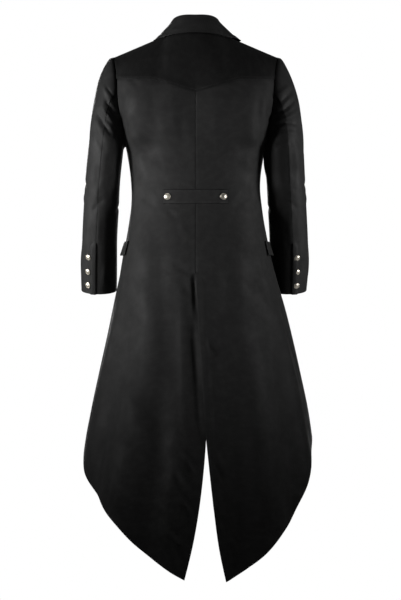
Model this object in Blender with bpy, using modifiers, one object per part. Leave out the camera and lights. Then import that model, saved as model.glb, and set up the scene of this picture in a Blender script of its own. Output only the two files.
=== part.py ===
"""A long black tailcoat, filled out as if worn, made of cloth walls cut and seamed piece by piece.

Lengths are in metres. The wearer faces -Y, +Z is up, and the wearer's left is +X.
The origin is the middle of the neck at the height of the shoulder seams, where the coat is carried.
"""

import math

import bmesh
import bpy
import numpy as np
from mathutils import Vector

# Cloth
CLOTH = 0.0022
DOUBLE_CLOTH = 0.0030
SEAM_EASE = 0.0002
LAID_GAP = 0.0009
WIDEST_SEAM_TURN = 80.0
MITRE_LIMIT = 0.6
SAME_POINT = 0.00002
CLOTH_ROUGHNESS = 0.85
SHARP_ANGLE = 50.0

# Neck and shoulders
NAPE_HEIGHT = 0.014
NECK_SIDE_HEIGHT = 0.003
NECK_HALF_WIDTH = 0.075
NECK_BACK = 0.055
SHOULDER_HALF_WIDTH = 0.2185
SHOULDER_HEIGHT = -0.058
TOP_FADE_POWER = 2.5

# Armhole
ARMPIT_HEIGHT = -0.294
ARMHOLE_HALF_DEPTH = 0.058
ARMHOLE_X = (  # height, half width of the body at the armhole seam
    (-0.294, 0.1850),
    (-0.255, 0.1900),
    (-0.220, 0.1970),
    (-0.185, 0.2045),
    (-0.143, 0.2085),
    (-0.111, 0.2100),
    (-0.085, 0.2135),
    (-0.058, 0.2185),
)

# Yoke
YOKE_HEIGHT = -0.111
YOKE_TIP_DROP = 0.035
YOKE_SLOPE_START = 0.118
YOKE_TIP_ROUNDING = 0.07
YOKE_SLOPE_POWER = 1.15
YOKE_HALVINGS = 30

# Lower body: height, half width left, half width right, depth behind, depth in front
SECTIONS = (
    (-1.460, 0.3510, 0.3590, 0.270, 0.185),
    (-1.350, 0.3370, 0.3485, 0.262, 0.183),
    (-1.250, 0.3200, 0.3375, 0.253, 0.180),
    (-1.140, 0.3010, 0.3220, 0.241, 0.176),
    (-1.071, 0.2920, 0.3108, 0.232, 0.172),
    (-0.992, 0.2785, 0.2979, 0.219, 0.168),
    (-0.886, 0.2552, 0.2748, 0.202, 0.162),
    (-0.780, 0.2316, 0.2504, 0.183, 0.155),
    (-0.700, 0.2152, 0.2311, 0.168, 0.149),
    (-0.647, 0.2035, 0.2165, 0.158, 0.145),
    (-0.580, 0.1920, 0.1990, 0.143, 0.138),
    (-0.530, 0.1822, 0.1892, 0.127, 0.131),
    (-0.480, 0.1742, 0.1795, 0.110, 0.124),
    (-0.434, 0.1697, 0.1741, 0.101, 0.121),
    (-0.390, 0.1708, 0.1712, 0.105, 0.124),
    (-0.350, 0.1750, 0.1760, 0.114, 0.130),
    (-0.294, 0.1850, 0.1850, 0.126, 0.135),
)

CENTRE_BACK = (  # height, depth of the centre back line above the armpits
    (-0.294, 0.126),
    (-0.230, 0.131),
    (-0.170, 0.129),
    (-0.110, 0.119),
    (-0.060, 0.102),
    (-0.020, 0.080),
    (0.014, 0.055),
)

FRONT_EDGE = (  # height, half distance between the front edges, depth of the edge in front
    (-0.500, 0.0300, 0.124),
    (-0.434, 0.0280, 0.119),
    (-0.360, 0.0310, 0.127),
    (-0.294, 0.0380, 0.132),
    (-0.230, 0.0470, 0.127),
    (-0.160, 0.0590, 0.112),
    (-0.090, 0.0710, 0.086),
    (-0.045, 0.0775, 0.056),
    (-0.018, 0.0780, 0.030),
    (0.003, 0.0750, 0.000),
)

# Waist, vent and tails
VENT_TOP = -0.628
VENT_STEP = -0.642
VENT_LIFT = 0.0034
VENT_LIFT_START = -0.50
VENT_LIFT_FULL = -0.648
VENT_LIFT_WIDTH = (0.035, 0.110)
SIDE_ANGLE = 90.0
HEIGHT_TOLERANCE = 0.0001

LEFT_TAIL_EDGE = (  # height, distance of the under tail's edge from the middle, outward to its own side
    (-1.460, 0.0350),
    (-1.436, 0.0288),
    (-1.423, 0.0240),
    (-1.373, 0.0130),
    (-1.330, 0.0030),
    (-1.264, -0.0078),
    (-1.185, -0.0184),
    (-1.120, -0.0246),
    (-1.065, -0.0284),
    (-0.900, -0.0292),
    (-0.642, -0.0300),
)

RIGHT_TAIL_EDGE = (  # height, distance of the top tail's edge from the middle, outward to its own side
    (-1.460, 0.0860),
    (-1.442, 0.0812),
    (-1.410, 0.0718),
    (-1.349, 0.0611),
    (-1.275, 0.0505),
    (-1.185, 0.0400),
    (-1.118, 0.0330),
    (-1.065, 0.0276),
    (-0.957, 0.0200),
    (-0.790, 0.0090),
    (-0.628, 0.0000),
)

HEM = (  # angle from centre back, height of the hem on the left, height on the right
    (-10.0, -1.460, -1.470),
    (0.0, -1.449, -1.466),
    (10.0, -1.420, -1.450),
    (20.0, -1.381, -1.417),
    (30.0, -1.337, -1.373),
    (40.0, -1.282, -1.319),
    (50.0, -1.238, -1.279),
    (60.0, -1.210, -1.210),
    (70.0, -1.176, -1.134),
    (80.0, -1.140, -1.086),
    (90.0, -1.104, -1.058),
    (100.0, -1.048, -1.015),
    (110.0, -0.966, -0.945),
    (125.0, -0.832, -0.824),
    (140.0, -0.704, -0.702),
    (155.0, -0.590, -0.590),
    (165.0, -0.528, -0.528),
    (172.0, -0.500, -0.500),
    (180.0, -0.492, -0.492),
)

# Flutes of the skirt: side, angle at the waist, angle at the hem, half width in degrees, depth, start height
FLUTES = (
    (1, 24.0, 42.0, 15.0, 0.016, -0.47),
    (1, 48.0, 62.0, 12.0, -0.012, -0.55),
    (1, 12.0, 21.0, 9.0, -0.009, -0.66),
    (1, 106.0, 122.0, 13.0, -0.010, -0.62),
    (-1, 26.0, 34.0, 13.0, 0.014, -0.50),
    (-1, 48.0, 52.0, 11.0, -0.012, -0.55),
    (-1, 64.0, 68.0, 11.0, 0.008, -0.58),
    (-1, 14.0, 18.0, 8.0, -0.008, -0.70),
    (-1, 104.0, 112.0, 14.0, -0.010, -0.62),
)
FLUTE_END = -1.30
BACK_HEM_GUESS = -1.4
FRONT_HEM_GUESS = -0.5
HEM_TRIES = 12

# Sleeves: place from armhole to cuff, outer height, inner height, outer x left, inner x left,
# outer x right, inner x right, half depth, middle y, forward tilt in degrees
SLEEVE_RINGS = (
    (0.00, -0.058, -0.294, 0.2185, 0.1850, 0.2185, 0.1850, 0.058, 0.000, 0.0),
    (0.06, -0.080, -0.2985, 0.2400, 0.1895, 0.2385, 0.1870, 0.065, 0.001, 0.0),
    (0.13, -0.117, -0.3040, 0.2562, 0.1908, 0.2566, 0.1870, 0.069, 0.002, 0.0),
    (0.21, -0.168, -0.3120, 0.2678, 0.1918, 0.2728, 0.1865, 0.071, 0.003, 0.0),
    (0.30, -0.226, -0.3250, 0.2772, 0.1930, 0.2812, 0.1862, 0.070, 0.004, 0.0),
    (0.41, -0.297, -0.3500, 0.2843, 0.1960, 0.2868, 0.1862, 0.066, 0.002, 0.0),
    (0.53, -0.376, -0.3980, 0.2914, 0.2005, 0.2903, 0.1890, 0.061, -0.004, 4.0),
    (0.66, -0.460, -0.4660, 0.2970, 0.2036, 0.2948, 0.1925, 0.056, -0.021, 9.0),
    (0.79, -0.542, -0.5430, 0.3010, 0.2078, 0.2988, 0.1965, 0.051, -0.049, 13.0),
    (0.91, -0.622, -0.6220, 0.3041, 0.2083, 0.2990, 0.1975, 0.047, -0.078, 14.0),
    (1.00, -0.674, -0.6740, 0.3032, 0.2090, 0.2950, 0.1985, 0.046, -0.094, 14.0),
)
ARMHOLE_BLEND = 0.30
SLEEVE_ROWS = 16
SLEEVE_ROW_POWER = 1.15
BACK_SLEEVE_SEAM = 4
FRONT_SLEEVE_SEAM = 6

# Half belt on the back of the waist, as wide as a number of the back's columns on each side
BELT_TOP = -0.407
BELT_BOTTOM = -0.445
BELT_COLUMNS = 4

# Pocket flaps, over the side seams
FLAP_TOP = -0.546
FLAP_BOTTOM = -0.583
FLAP_ANGLES = (67.5, 75.0, 82.5, 90.0, 99.0, 108.0, 117.0)
FLAP_FLARE = 0.0045

# Rows and columns of the cloth
NECK_COLUMNS = 4
SHOULDER_COLUMNS = 8
YOKE_ROWS = 3
BACK_UPPER_ROWS = 6
CHEST_HEIGHTS = (ARMPIT_HEIGHT, -0.332, -0.369, BELT_TOP, BELT_BOTTOM)
HIP_HEIGHTS = (-0.495, FLAP_TOP, FLAP_BOTTOM, VENT_TOP, VENT_STEP)
TAIL_ROWS = 10

# Collar: place (0 at the nape, 1 at the shoulder seam, 2 at its front end), x, y and height of its fold,
# column of the panel that the edge of its fall lies on, height on that panel's inner line
COLLAR_STATIONS = (
    (0.00, 0.0000, 0.0430, 0.0557, 0.000, 0.0066),
    (0.25, 0.0225, 0.0405, 0.0557, 0.105, 0.0050),
    (0.50, 0.0400, 0.0310, 0.0535, 0.225, 0.0025),
    (0.75, 0.0530, 0.0165, 0.0480, 0.355, 0.0030),
    (1.00, 0.0610, -0.0020, 0.0400, 0.484, 0.0140),
    (1.25, 0.0655, -0.0200, 0.0260, 0.227, -0.0060),
    (1.50, 0.0690, -0.0370, 0.0080, 0.222, -0.0200),
    (1.75, 0.0720, -0.0520, -0.0120, 0.212, -0.0350),
    (2.00, 0.0745, -0.0655, -0.0330, 0.198, -0.0500),
)
COLLAR_END_HEIGHT = -0.045
COLLAR_STEPS = 12
COLLAR_INSET = 0.010
COLLAR_FRONT_INSET = 0.08
COLLAR_TOP_INSET = 0.006
COLLAR_EDGE_GAP = 0.0016
COLLAR_FOOT_GAP = 0.0006
FOLD_HALF_WIDTH = 0.0026

# Lapels: share of the lapel's width, height on the front's edge of its top row
LAPEL_TOP = (
    (0.0, -0.0570),
    (0.4, -0.0630),
    (0.7, -0.0610),
    (1.0, -0.0390),
)
LAPEL_BOTTOM = -0.440
LAPEL_WIDTH = (  # share of the way down the lapel, its width as a share of the front's breadth
    (0.00, 0.54),
    (0.10, 0.56),
    (0.30, 0.50),
    (0.60, 0.34),
    (0.85, 0.17),
    (1.00, 0.06),
)
LAPEL_GAP = 0.0026
LAPEL_COLUMNS = 6
LAPEL_ROWS = 12

# Buttons: height above the cloth and radius of the turned profile, as shares of the button's radius
BUTTON_PROFILE = ((0.46, 0.0), (0.42, 0.34), (0.28, 0.66), (0.32, 0.86), (0.18, 1.0), (0.0, 0.92), (0.0, 0.0))
BUTTON_STEPS = 14
BUTTON_GAP = 0.0004
BUTTON_ROUGHNESS = 0.4
BUTTON_METALLIC = 0.9
BUTTON_MERGE = 0.00005
BELT_BUTTON_RADIUS = 0.0087
BELT_BUTTON_X = 0.0726
BELT_BUTTON_HEIGHT = -0.426
CUFF_BUTTON_RADIUS = 0.0080
CUFF_BUTTON_PLACES = (0.842, 0.899, 0.960)
CUFF_BUTTON_ANGLES = (53.0, 66.0)

# Short steps along a panel, a column, a height, an angle and a sleeve, from which slopes are taken
PANEL_STEP = 0.004
COLUMN_STEP = 0.02
ANGLE_STEP = 0.5
PLACE_STEP = 0.01
UPWARD_LEAN = 0.1

# Colours: red, green, blue, alpha
BLACK_CLOTH = (0.012, 0.012, 0.013, 1.0)
COLLAR_CLOTH = (0.016, 0.016, 0.017, 1.0)
OLD_SILVER = (0.36, 0.34, 0.30, 1.0)

COAT_NAME = "tailcoat"


class Curve:
    """A smooth curve through the rows of a short table, held level past both ends."""

    def __init__(self, rows):
        data = np.array(sorted(rows), dtype=float)
        self.places = data[:, 0]
        self.values = data[:, 1:]
        self.slopes = np.gradient(self.values, self.places, axis=0)

    def at(self, place):
        """Values of every column at a place in the first column."""
        place = min(max(place, self.places[0]), self.places[-1])
        index = int(np.searchsorted(self.places, place)) - 1
        index = min(max(index, 0), len(self.places) - 2)
        width = self.places[index + 1] - self.places[index]
        part = (place - self.places[index]) / width
        start = (1 + 2 * part) * (1 - part) ** 2 * self.values[index]
        start_slope = part * (1 - part) ** 2 * width * self.slopes[index]
        end = part * part * (3 - 2 * part) * self.values[index + 1]
        end_slope = part * part * (part - 1) * width * self.slopes[index + 1]
        return start + start_slope + end + end_slope


SECTION_CURVE = Curve(SECTIONS)
CENTRE_BACK_CURVE = Curve(CENTRE_BACK)
FRONT_EDGE_CURVE = Curve(FRONT_EDGE)
ARMHOLE_CURVE = Curve(ARMHOLE_X)
HEM_CURVE = Curve(HEM)
LEFT_TAIL_CURVE = Curve(LEFT_TAIL_EDGE)
RIGHT_TAIL_CURVE = Curve(RIGHT_TAIL_EDGE)
SLEEVE_CURVE = Curve(SLEEVE_RINGS)
COLLAR_CURVE = Curve(COLLAR_STATIONS)
LAPEL_TOP_CURVE = Curve(LAPEL_TOP)
LAPEL_WIDTH_CURVE = Curve(LAPEL_WIDTH)


def ease(value, start, end):
    """Smooth step from 0 at start to 1 at end."""
    part = min(max((value - start) / (end - start), 0.0), 1.0)
    return part * part * (3 - 2 * part)


def mix(first, second, part):
    """Point or number a given part of the way between two others."""
    return first + (second - first) * part


def half_width(side, height):
    """Half width of the body on one side."""
    left, right, _, _ = SECTION_CURVE.at(height)
    return left if side > 0 else right


def flute_lift(side, height, angle):
    """How far the skirt's soft flutes push the cloth out."""
    lift = 0.0
    for flute_side, waist_angle, hem_angle, spread, depth, start in FLUTES:
        down = ease(-height, -start, -FLUTE_END)
        middle = mix(waist_angle, hem_angle, down)
        if flute_side == side and abs(angle - middle) < spread:
            lift += depth * down * math.cos(math.pi * (angle - middle) / spread / 2) ** 2
    return lift


def ring_point(side, height, angle):
    """Point on the outer face below the armpits; the angle is 0 at centre back and 180 at centre front."""
    _, _, back, front = SECTION_CURVE.at(height)
    turn = math.radians(angle)
    across = half_width(side, height) * math.sin(turn)
    depth = (back if angle < 90 else front) * math.cos(turn)
    lift = flute_lift(side, height, angle)
    if side < 0:
        vent = ease(-height, -VENT_LIFT_START, -VENT_LIFT_FULL)
        lift += VENT_LIFT * vent * (1 - ease(across, *VENT_LIFT_WIDTH))
    return np.array([side * (across + lift * math.sin(turn)), depth + lift * math.cos(turn), height])


def armhole_point(side, angle):
    """Point of the armhole seam; the angle is 0 at the shoulder, positive behind, 180 under the arm."""
    turn = math.radians(angle)
    middle = (SHOULDER_HEIGHT + ARMPIT_HEIGHT) / 2
    height = middle + (SHOULDER_HEIGHT - ARMPIT_HEIGHT) / 2 * math.cos(turn)
    return np.array([side * ARMHOLE_CURVE.at(height)[0], ARMHOLE_HALF_DEPTH * math.sin(turn), height])


def shoulder_point(side, part):
    """Point of the shoulder seam, from the side of the neck to the shoulder's end."""
    across = mix(NECK_HALF_WIDTH, SHOULDER_HALF_WIDTH, part)
    return np.array([side * across, 0.0, mix(NECK_SIDE_HEIGHT, SHOULDER_HEIGHT, part)])


def neckline_point(side, part):
    """Point of the back neckline, from the nape to the side of the neck."""
    turn = part * math.pi / 2
    height = mix(NAPE_HEIGHT, NECK_SIDE_HEIGHT, 1 - math.cos(turn))
    return np.array([side * NECK_HALF_WIDTH * math.sin(turn), NECK_BACK * math.cos(turn), height])


def draped_patch(inner, outer, top, bottom, weight, down):
    """Point of a patch hung between an inner line, the armhole, a top seam and the ring at the armpits.

    inner and outer are the two lines' points at this height, top and bottom hold the patch's point
    at that end and what a straight span between the two lines would give there.
    """
    top_share = (1 - down) ** TOP_FADE_POWER
    return mix(inner, outer, weight) + top_share * (top[0] - top[1]) + (1 - top_share) * (bottom[0] - bottom[1])


def back_point(side, across, level):
    """Point of the back, from centre back (across 0) to the side (across 1), at a centre back height."""
    if level < ARMPIT_HEIGHT:
        first = tail_edge_angle(side, level)
        return ring_point(side, level, mix(first, SIDE_ANGLE, across))
    down = (NAPE_HEIGHT - level) / (NAPE_HEIGHT - ARMPIT_HEIGHT)
    neck_share = NECK_COLUMNS / (NECK_COLUMNS + SHOULDER_COLUMNS)
    if across < neck_share:
        top = neckline_point(side, across / neck_share)
    else:
        top = shoulder_point(side, (across - neck_share) / (1 - neck_share))
    weight = math.sin(math.radians(SIDE_ANGLE * across))
    straight_top = mix(neckline_point(side, 0), shoulder_point(side, 1), weight)
    bottom = ring_point(side, ARMPIT_HEIGHT, SIDE_ANGLE * across)
    straight_bottom = mix(ring_point(side, ARMPIT_HEIGHT, 0), ring_point(side, ARMPIT_HEIGHT, 90), weight)
    inner = np.array([0.0, CENTRE_BACK_CURVE.at(level)[0], level])
    outer = armhole_point(side, 180 * down)
    return draped_patch(inner, outer, (top, straight_top), (bottom, straight_bottom), weight, down)


def front_edge_angle(side, height):
    """Angle of the front edge on the ring at a height."""
    opening = FRONT_EDGE_CURVE.at(height)[0]
    return 180 - math.degrees(math.asin(opening / half_width(side, height)))


def front_point(side, across, level):
    """Point of the front, from the front edge (across 0) to the side (across 1), at a front edge height."""
    if level < ARMPIT_HEIGHT:
        return ring_point(side, level, mix(front_edge_angle(side, level), SIDE_ANGLE, across))
    down = (NECK_SIDE_HEIGHT - level) / (NECK_SIDE_HEIGHT - ARMPIT_HEIGHT)
    first = front_edge_angle(side, ARMPIT_HEIGHT)
    angle = mix(first, SIDE_ANGLE, across)
    start = math.sin(math.radians(first))
    weight = (math.sin(math.radians(angle)) - start) / (1 - start)
    opening, depth = FRONT_EDGE_CURVE.at(level)
    inner = np.array([side * opening, -depth, level])
    ring_start = ring_point(side, ARMPIT_HEIGHT, first)
    armpit_edge = np.array([side * FRONT_EDGE_CURVE.at(ARMPIT_HEIGHT)[0],
                            -FRONT_EDGE_CURVE.at(ARMPIT_HEIGHT)[1], ARMPIT_HEIGHT])
    inner = inner + down ** 3 * (ring_start - armpit_edge)
    outer = armhole_point(side, -180 * down)
    top = shoulder_point(side, across)
    straight_top = mix(shoulder_point(side, 0), shoulder_point(side, 1), weight)
    bottom = ring_point(side, ARMPIT_HEIGHT, angle)
    straight_bottom = mix(ring_start, ring_point(side, ARMPIT_HEIGHT, 90), weight)
    return draped_patch(inner, outer, (top, straight_top), (bottom, straight_bottom), weight, down)


def tail_edge_angle(side, height):
    """Angle of the edge of a back panel: the centre seam, and below the vent's top the tail's own edge."""
    if height > VENT_TOP - HEIGHT_TOLERANCE:
        return 0.0
    curve = LEFT_TAIL_CURVE if side > 0 else RIGHT_TAIL_CURVE
    return math.degrees(math.asin(curve.at(height)[0] / half_width(side, height)))


def hem_height(side, across, first_angle):
    """Height of the hem on a column, whose angle depends on the height through the panel's edge."""
    height = BACK_HEM_GUESS if first_angle is None else FRONT_HEM_GUESS
    for _ in range(HEM_TRIES):
        first = tail_edge_angle(side, height) if first_angle is None else first_angle(side, height)
        height = HEM_CURVE.at(mix(first, SIDE_ANGLE, across))[0 if side > 0 else 1]
    return height


def yoke_line(across_x):
    """Height of the yoke's lower edge, level at the sides and drawn down to a rounded point in the middle."""
    part = min(abs(across_x) / YOKE_SLOPE_START, 1.0)
    rounded = math.sqrt(part ** 2 + YOKE_TIP_ROUNDING ** 2) - YOKE_TIP_ROUNDING
    return YOKE_HEIGHT - YOKE_TIP_DROP * max(1 - rounded, 0.0) ** YOKE_SLOPE_POWER


def yoke_level(side, across):
    """Centre back height at which a column of the back crosses the yoke's lower edge."""
    low, high = ARMPIT_HEIGHT, NAPE_HEIGHT
    for _ in range(YOKE_HALVINGS):
        middle = (low + high) / 2
        point = back_point(side, across, middle)
        if point[2] > yoke_line(point[0]):
            high = middle
        else:
            low = middle
    return (low + high) / 2


def sleeve_point(side, angle, place):
    """Point of a sleeve; the angle is 0 on the outer side, positive behind, 180 beside the body."""
    row = SLEEVE_CURVE.at(place)
    outer_x, inner_x = (row[2], row[3]) if side > 0 else (row[4], row[5])
    outer = np.array([side * outer_x, row[7], row[0]])
    inner = np.array([side * inner_x, row[7], row[1]])
    turn = math.radians(angle)
    tilt = math.radians(row[8])
    depth = row[6] * math.sin(turn) * np.array([0.0, math.cos(tilt), -math.sin(tilt)])
    point = (outer + inner) / 2 + (outer - inner) / 2 * math.cos(turn) + depth
    if place < ARMHOLE_BLEND:
        start = sleeve_start(side, turn)
        point = point + (armhole_point(side, angle) - start) * (1 - place / ARMHOLE_BLEND) ** 2
    return point


def sleeve_start(side, turn):
    """Point of the plain oval that the armhole seam is blended from."""
    outer = armhole_point(side, 0)
    inner = armhole_point(side, 180)
    depth = np.array([0.0, ARMHOLE_HALF_DEPTH * math.sin(turn), 0.0])
    return (outer + inner) / 2 + (outer - inner) / 2 * math.cos(turn) + depth


class Panel:
    """One cut piece of cloth: a grid of points, its normals and the two faces of its wall."""

    def __init__(self, name, points, axis, out=0.0, into=CLOTH, colour=BLACK_CLOTH, ease_edges=True):
        self.name = name
        self.points = np.array(points)
        self.out = out
        self.into = into
        self.colour = colour
        self.ease_edges = ease_edges
        self.normals = self.find_normals(axis)
        self.reach = np.ones(self.points.shape[:2])

    def find_normals(self, axis):
        """Unit normals of the grid, turned to face away from the hollow's axis."""
        along = np.gradient(self.points, axis=1)
        down = np.gradient(self.points, axis=0)
        normals = np.cross(along, down)
        normals /= np.linalg.norm(normals, axis=2, keepdims=True)
        away = self.points - np.array([[axis(point) for point in row] for row in self.points])
        if np.sum(normals * away) < 0:
            normals = -normals
        return normals

    def border(self):
        """Row and column of every point on the panel's edge."""
        rows, columns = self.points.shape[:2]
        return [(row, column) for row in range(rows) for column in range(columns)
                if row in (0, rows - 1) or column in (0, columns - 1)]

    def edge_shift(self):
        """Small move of the edge points towards the panel's inside, square to its edges."""
        shift = np.zeros_like(self.points)
        along = np.gradient(self.points, axis=1)
        down = np.gradient(self.points, axis=0)
        for edge, inside, tangent in (
            (np.s_[0, :], np.s_[1, :], along), (np.s_[-1, :], np.s_[-2, :], along),
            (np.s_[:, 0], np.s_[:, 1], down), (np.s_[:, -1], np.s_[:, -2], down),
        ):
            square = np.cross(self.normals[edge], tangent[edge])
            square /= np.linalg.norm(square, axis=1, keepdims=True)
            inward = np.sum(square * (self.points[inside] - self.points[edge]), axis=1)
            shift[edge] += square * np.where(inward < 0, -1.0, 1.0)[:, None] * SEAM_EASE
        return shift

    def faces_of_wall(self):
        """Grids of the wall's outer and inner faces."""
        points = self.points + self.edge_shift() if self.ease_edges else self.points
        reach = self.reach[:, :, None]
        return points + self.normals * self.out * reach, points - self.normals * self.into * reach


def share_seam_normals(panels):
    """Give edges that meet at a seam one common wall direction, so that the walls meet in a mitre."""
    places = [(panel, row, column) for panel in panels for row, column in panel.border()]
    points = np.array([panel.points[row, column] for panel, row, column in places])
    normals = np.array([panel.normals[row, column] for panel, row, column in places])
    widest_turn = math.cos(math.radians(WIDEST_SEAM_TURN))
    for index, (panel, row, column) in enumerate(places):
        near = np.linalg.norm(points - points[index], axis=1) < SAME_POINT
        alike = near & (normals @ normals[index] > widest_turn)
        shared = normals[alike].sum(axis=0)
        shared /= np.linalg.norm(shared)
        panel.normals[row, column] = shared
        panel.reach[row, column] = 1 / max(shared @ normals[index], MITRE_LIMIT)


def make_collection():
    """Clear the scene and make the coat's collection."""
    for scene_object in list(bpy.data.objects):
        bpy.data.objects.remove(scene_object, do_unlink=True)
    collection = bpy.data.collections.new(COAT_NAME)
    bpy.context.scene.collection.children.link(collection)
    return collection


def make_material(name, colour, roughness, metallic):
    """Material with the piece's colour."""
    material = bpy.data.materials.new(name)
    material.use_nodes = True
    shader = material.node_tree.nodes["Principled BSDF"]
    shader.inputs["Base Color"].default_value = colour
    shader.inputs["Roughness"].default_value = roughness
    shader.inputs["Metallic"].default_value = metallic
    material.diffuse_color = colour
    return material


def make_cloth(collection, panel):
    """Bend a flat slab of cells onto the two faces of a panel's wall."""
    outer, inner = panel.faces_of_wall()
    rows, columns = outer.shape[:2]
    slab = bmesh.new()
    bmesh.ops.create_grid(slab, x_segments=columns - 1, y_segments=rows - 1, size=0.5)
    bmesh.ops.solidify(slab, geom=slab.faces[:], thickness=1.0)
    for vert in slab.verts:
        column = round((vert.co.x + 0.5) * (columns - 1))
        row = round((0.5 - vert.co.y) * (rows - 1))
        vert.co = (outer if vert.co.z > -0.5 else inner)[row, column]
    bmesh.ops.triangulate(slab, faces=slab.faces[:], quad_method="SHORT_EDGE")
    if slab.calc_volume(signed=True) < 0:
        bmesh.ops.reverse_faces(slab, faces=slab.faces[:])
    mesh = bpy.data.meshes.new(panel.name)
    slab.to_mesh(mesh)
    slab.free()
    mesh.shade_smooth()
    mesh.set_sharp_from_angle(angle=math.radians(SHARP_ANGLE))
    mesh.materials.append(make_material(panel.name, panel.colour, CLOTH_ROUGHNESS, 0.0))
    piece = bpy.data.objects.new(panel.name, mesh)
    collection.objects.link(piece)


def body_axis(point):
    """Point on the body's middle line at the height of a given point."""
    return np.array([0.0, 0.0, point[2]])


def columns_of(count):
    """Shares from 0 to 1 for a number of columns."""
    return [index / count for index in range(count + 1)]


def back_rows(side, across):
    """Centre back heights of one column of a back panel, from the yoke seam to the hem."""
    upper = np.linspace(yoke_level(side, across), ARMPIT_HEIGHT, BACK_UPPER_ROWS + 1)[:-1]
    hem = hem_height(side, across, None)
    tail = np.linspace(VENT_STEP, hem, TAIL_ROWS + 1)[1:]
    return [*upper, *CHEST_HEIGHTS, *HIP_HEIGHTS, *tail]


def make_back(side):
    """Back panel of one side, from the yoke seam to the end of its tail."""
    columns = columns_of(NECK_COLUMNS + SHOULDER_COLUMNS)
    heights = [back_rows(side, across) for across in columns]
    points = [[back_point(side, across, heights[index][row]) for index, across in enumerate(columns)]
              for row in range(len(heights[0]))]
    return Panel("back_left" if side > 0 else "back_right", points, body_axis)


def make_yoke():
    """Back yoke from the neckline and shoulder seams down to its pointed lower edge."""
    shares = columns_of(NECK_COLUMNS + SHOULDER_COLUMNS)
    columns = [(-1, across) for across in reversed(shares)] + [(1, across) for across in shares[1:]]
    heights = [np.linspace(NAPE_HEIGHT, yoke_level(side, across), YOKE_ROWS + 1) for side, across in columns]
    points = [[back_point(side, across, heights[index][row]) for index, (side, across) in enumerate(columns)]
              for row in range(YOKE_ROWS + 1)]
    return Panel("back_yoke", points, body_axis)


def armhole_shares():
    """Shares of the way down the armhole at which the body's rows meet it."""
    yoke_end = (NAPE_HEIGHT - yoke_level(1, 1.0)) / (NAPE_HEIGHT - ARMPIT_HEIGHT)
    return list(np.linspace(0, yoke_end, YOKE_ROWS + 1)) + list(np.linspace(yoke_end, 1, BACK_UPPER_ROWS + 1)[1:])


def make_front(side):
    """Front panel of one side, from the shoulder seam to the cutaway edge."""
    columns = columns_of(SHOULDER_COLUMNS)
    side_hem = hem_height(side, 1.0, None)
    below = [*HIP_HEIGHTS, *np.linspace(VENT_STEP, side_hem, TAIL_ROWS + 1)[1:]]
    heights = []
    for across in columns:
        hem = hem_height(side, across, front_edge_angle)
        upper = [mix(NECK_SIDE_HEIGHT, ARMPIT_HEIGHT, share) for share in armhole_shares()[:-1]]
        skirt = [mix(BELT_BOTTOM, hem, (level - BELT_BOTTOM) / (side_hem - BELT_BOTTOM)) for level in below]
        heights.append([*upper, *CHEST_HEIGHTS, *skirt])
    points = [[front_point(side, across, heights[index][row]) for index, across in enumerate(columns)]
              for row in range(len(heights[0]))]
    return Panel("front_left" if side > 0 else "front_right", points, body_axis)


def make_sleeve(side):
    """Top sleeve and under sleeve of one arm, parted at the back seam and the front seam."""
    shares = armhole_shares()
    behind = [180 * share for share in shares]
    before = [-angle for angle in behind]
    top_angles = list(reversed(before[:FRONT_SLEEVE_SEAM + 1])) + behind[1:BACK_SLEEVE_SEAM + 1]
    under_angles = behind[BACK_SLEEVE_SEAM:] + [angle + 360 for angle in reversed(before[FRONT_SLEEVE_SEAM:-1])]
    places = [(row / SLEEVE_ROWS) ** SLEEVE_ROW_POWER for row in range(SLEEVE_ROWS + 1)]

    def arm_axis(point):
        """Point on the sleeve's middle line nearest to a given point."""
        middles = [(sleeve_point(side, 0, place) + sleeve_point(side, 180, place)) / 2 for place in places]
        return min(middles, key=lambda middle: np.linalg.norm(middle - point))

    end = "left" if side > 0 else "right"
    return [Panel(f"{name}_{end}", [[sleeve_point(side, angle, place) for angle in angles] for place in places],
                  arm_axis) for name, angles in (("topsleeve", top_angles), ("undersleeve", under_angles))]


def unit(vector):
    """Vector of length 1."""
    return vector / np.linalg.norm(vector)


def collar_seam(side, place):
    """Point of the collar's seam and the direction that leads off the panel there."""
    if place <= 1:
        point = neckline_point(side, place)
        share = NECK_COLUMNS / (NECK_COLUMNS + SHOULDER_COLUMNS) * place
        inside = back_point(side, share, NAPE_HEIGHT - COLLAR_INSET)
    else:
        level = mix(NECK_SIDE_HEIGHT, COLLAR_END_HEIGHT, place - 1)
        point = front_point(side, 0.0, level)
        inside = front_point(side, COLLAR_FRONT_INSET, level)
    return point, unit(point - inside)


def panel_normal(point_at, across, level, side):
    """Outward normal of a body panel at a column and height."""
    along = point_at(side, across + PANEL_STEP, level) - point_at(side, across, level)
    down = point_at(side, across, level - PANEL_STEP) - point_at(side, across, level)
    normal = unit(np.cross(along, down))
    point = point_at(side, across, level)
    outward = point - body_axis(point) + np.array([0.0, 0.0, UPWARD_LEAN])
    return normal if normal @ outward > 0 else -normal


def collar_section(side, place):
    """Underside of the collar at one station: up the stand, over the fold and down the fall."""
    fold_x, fold_y, fold_height, across, level = COLLAR_CURVE.at(place)
    seam, off = collar_seam(side, place)
    if place <= 1:
        edge = back_point(side, across, level)
        normal = panel_normal(back_point, across, min(level, NAPE_HEIGHT - COLLAR_TOP_INSET), side)
    else:
        edge = front_point(side, across, level)
        normal = panel_normal(front_point, across, level, side)
    edge = edge + normal * COLLAR_EDGE_GAP
    fold = np.array([side * fold_x, fold_y, fold_height - CLOTH])
    out = unit((edge - fold) * np.array([1.0, 1.0, 0.0]))
    drop = np.array([0.0, 0.0, -FOLD_HALF_WIDTH])
    foot = seam + off * COLLAR_FOOT_GAP
    stand_top = fold - out * FOLD_HALF_WIDTH + drop
    fall_top = fold + out * FOLD_HALF_WIDTH + drop
    return [foot, mix(foot, stand_top, 0.5), stand_top, fold, fall_top, mix(fall_top, edge, 0.5), edge]


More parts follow.
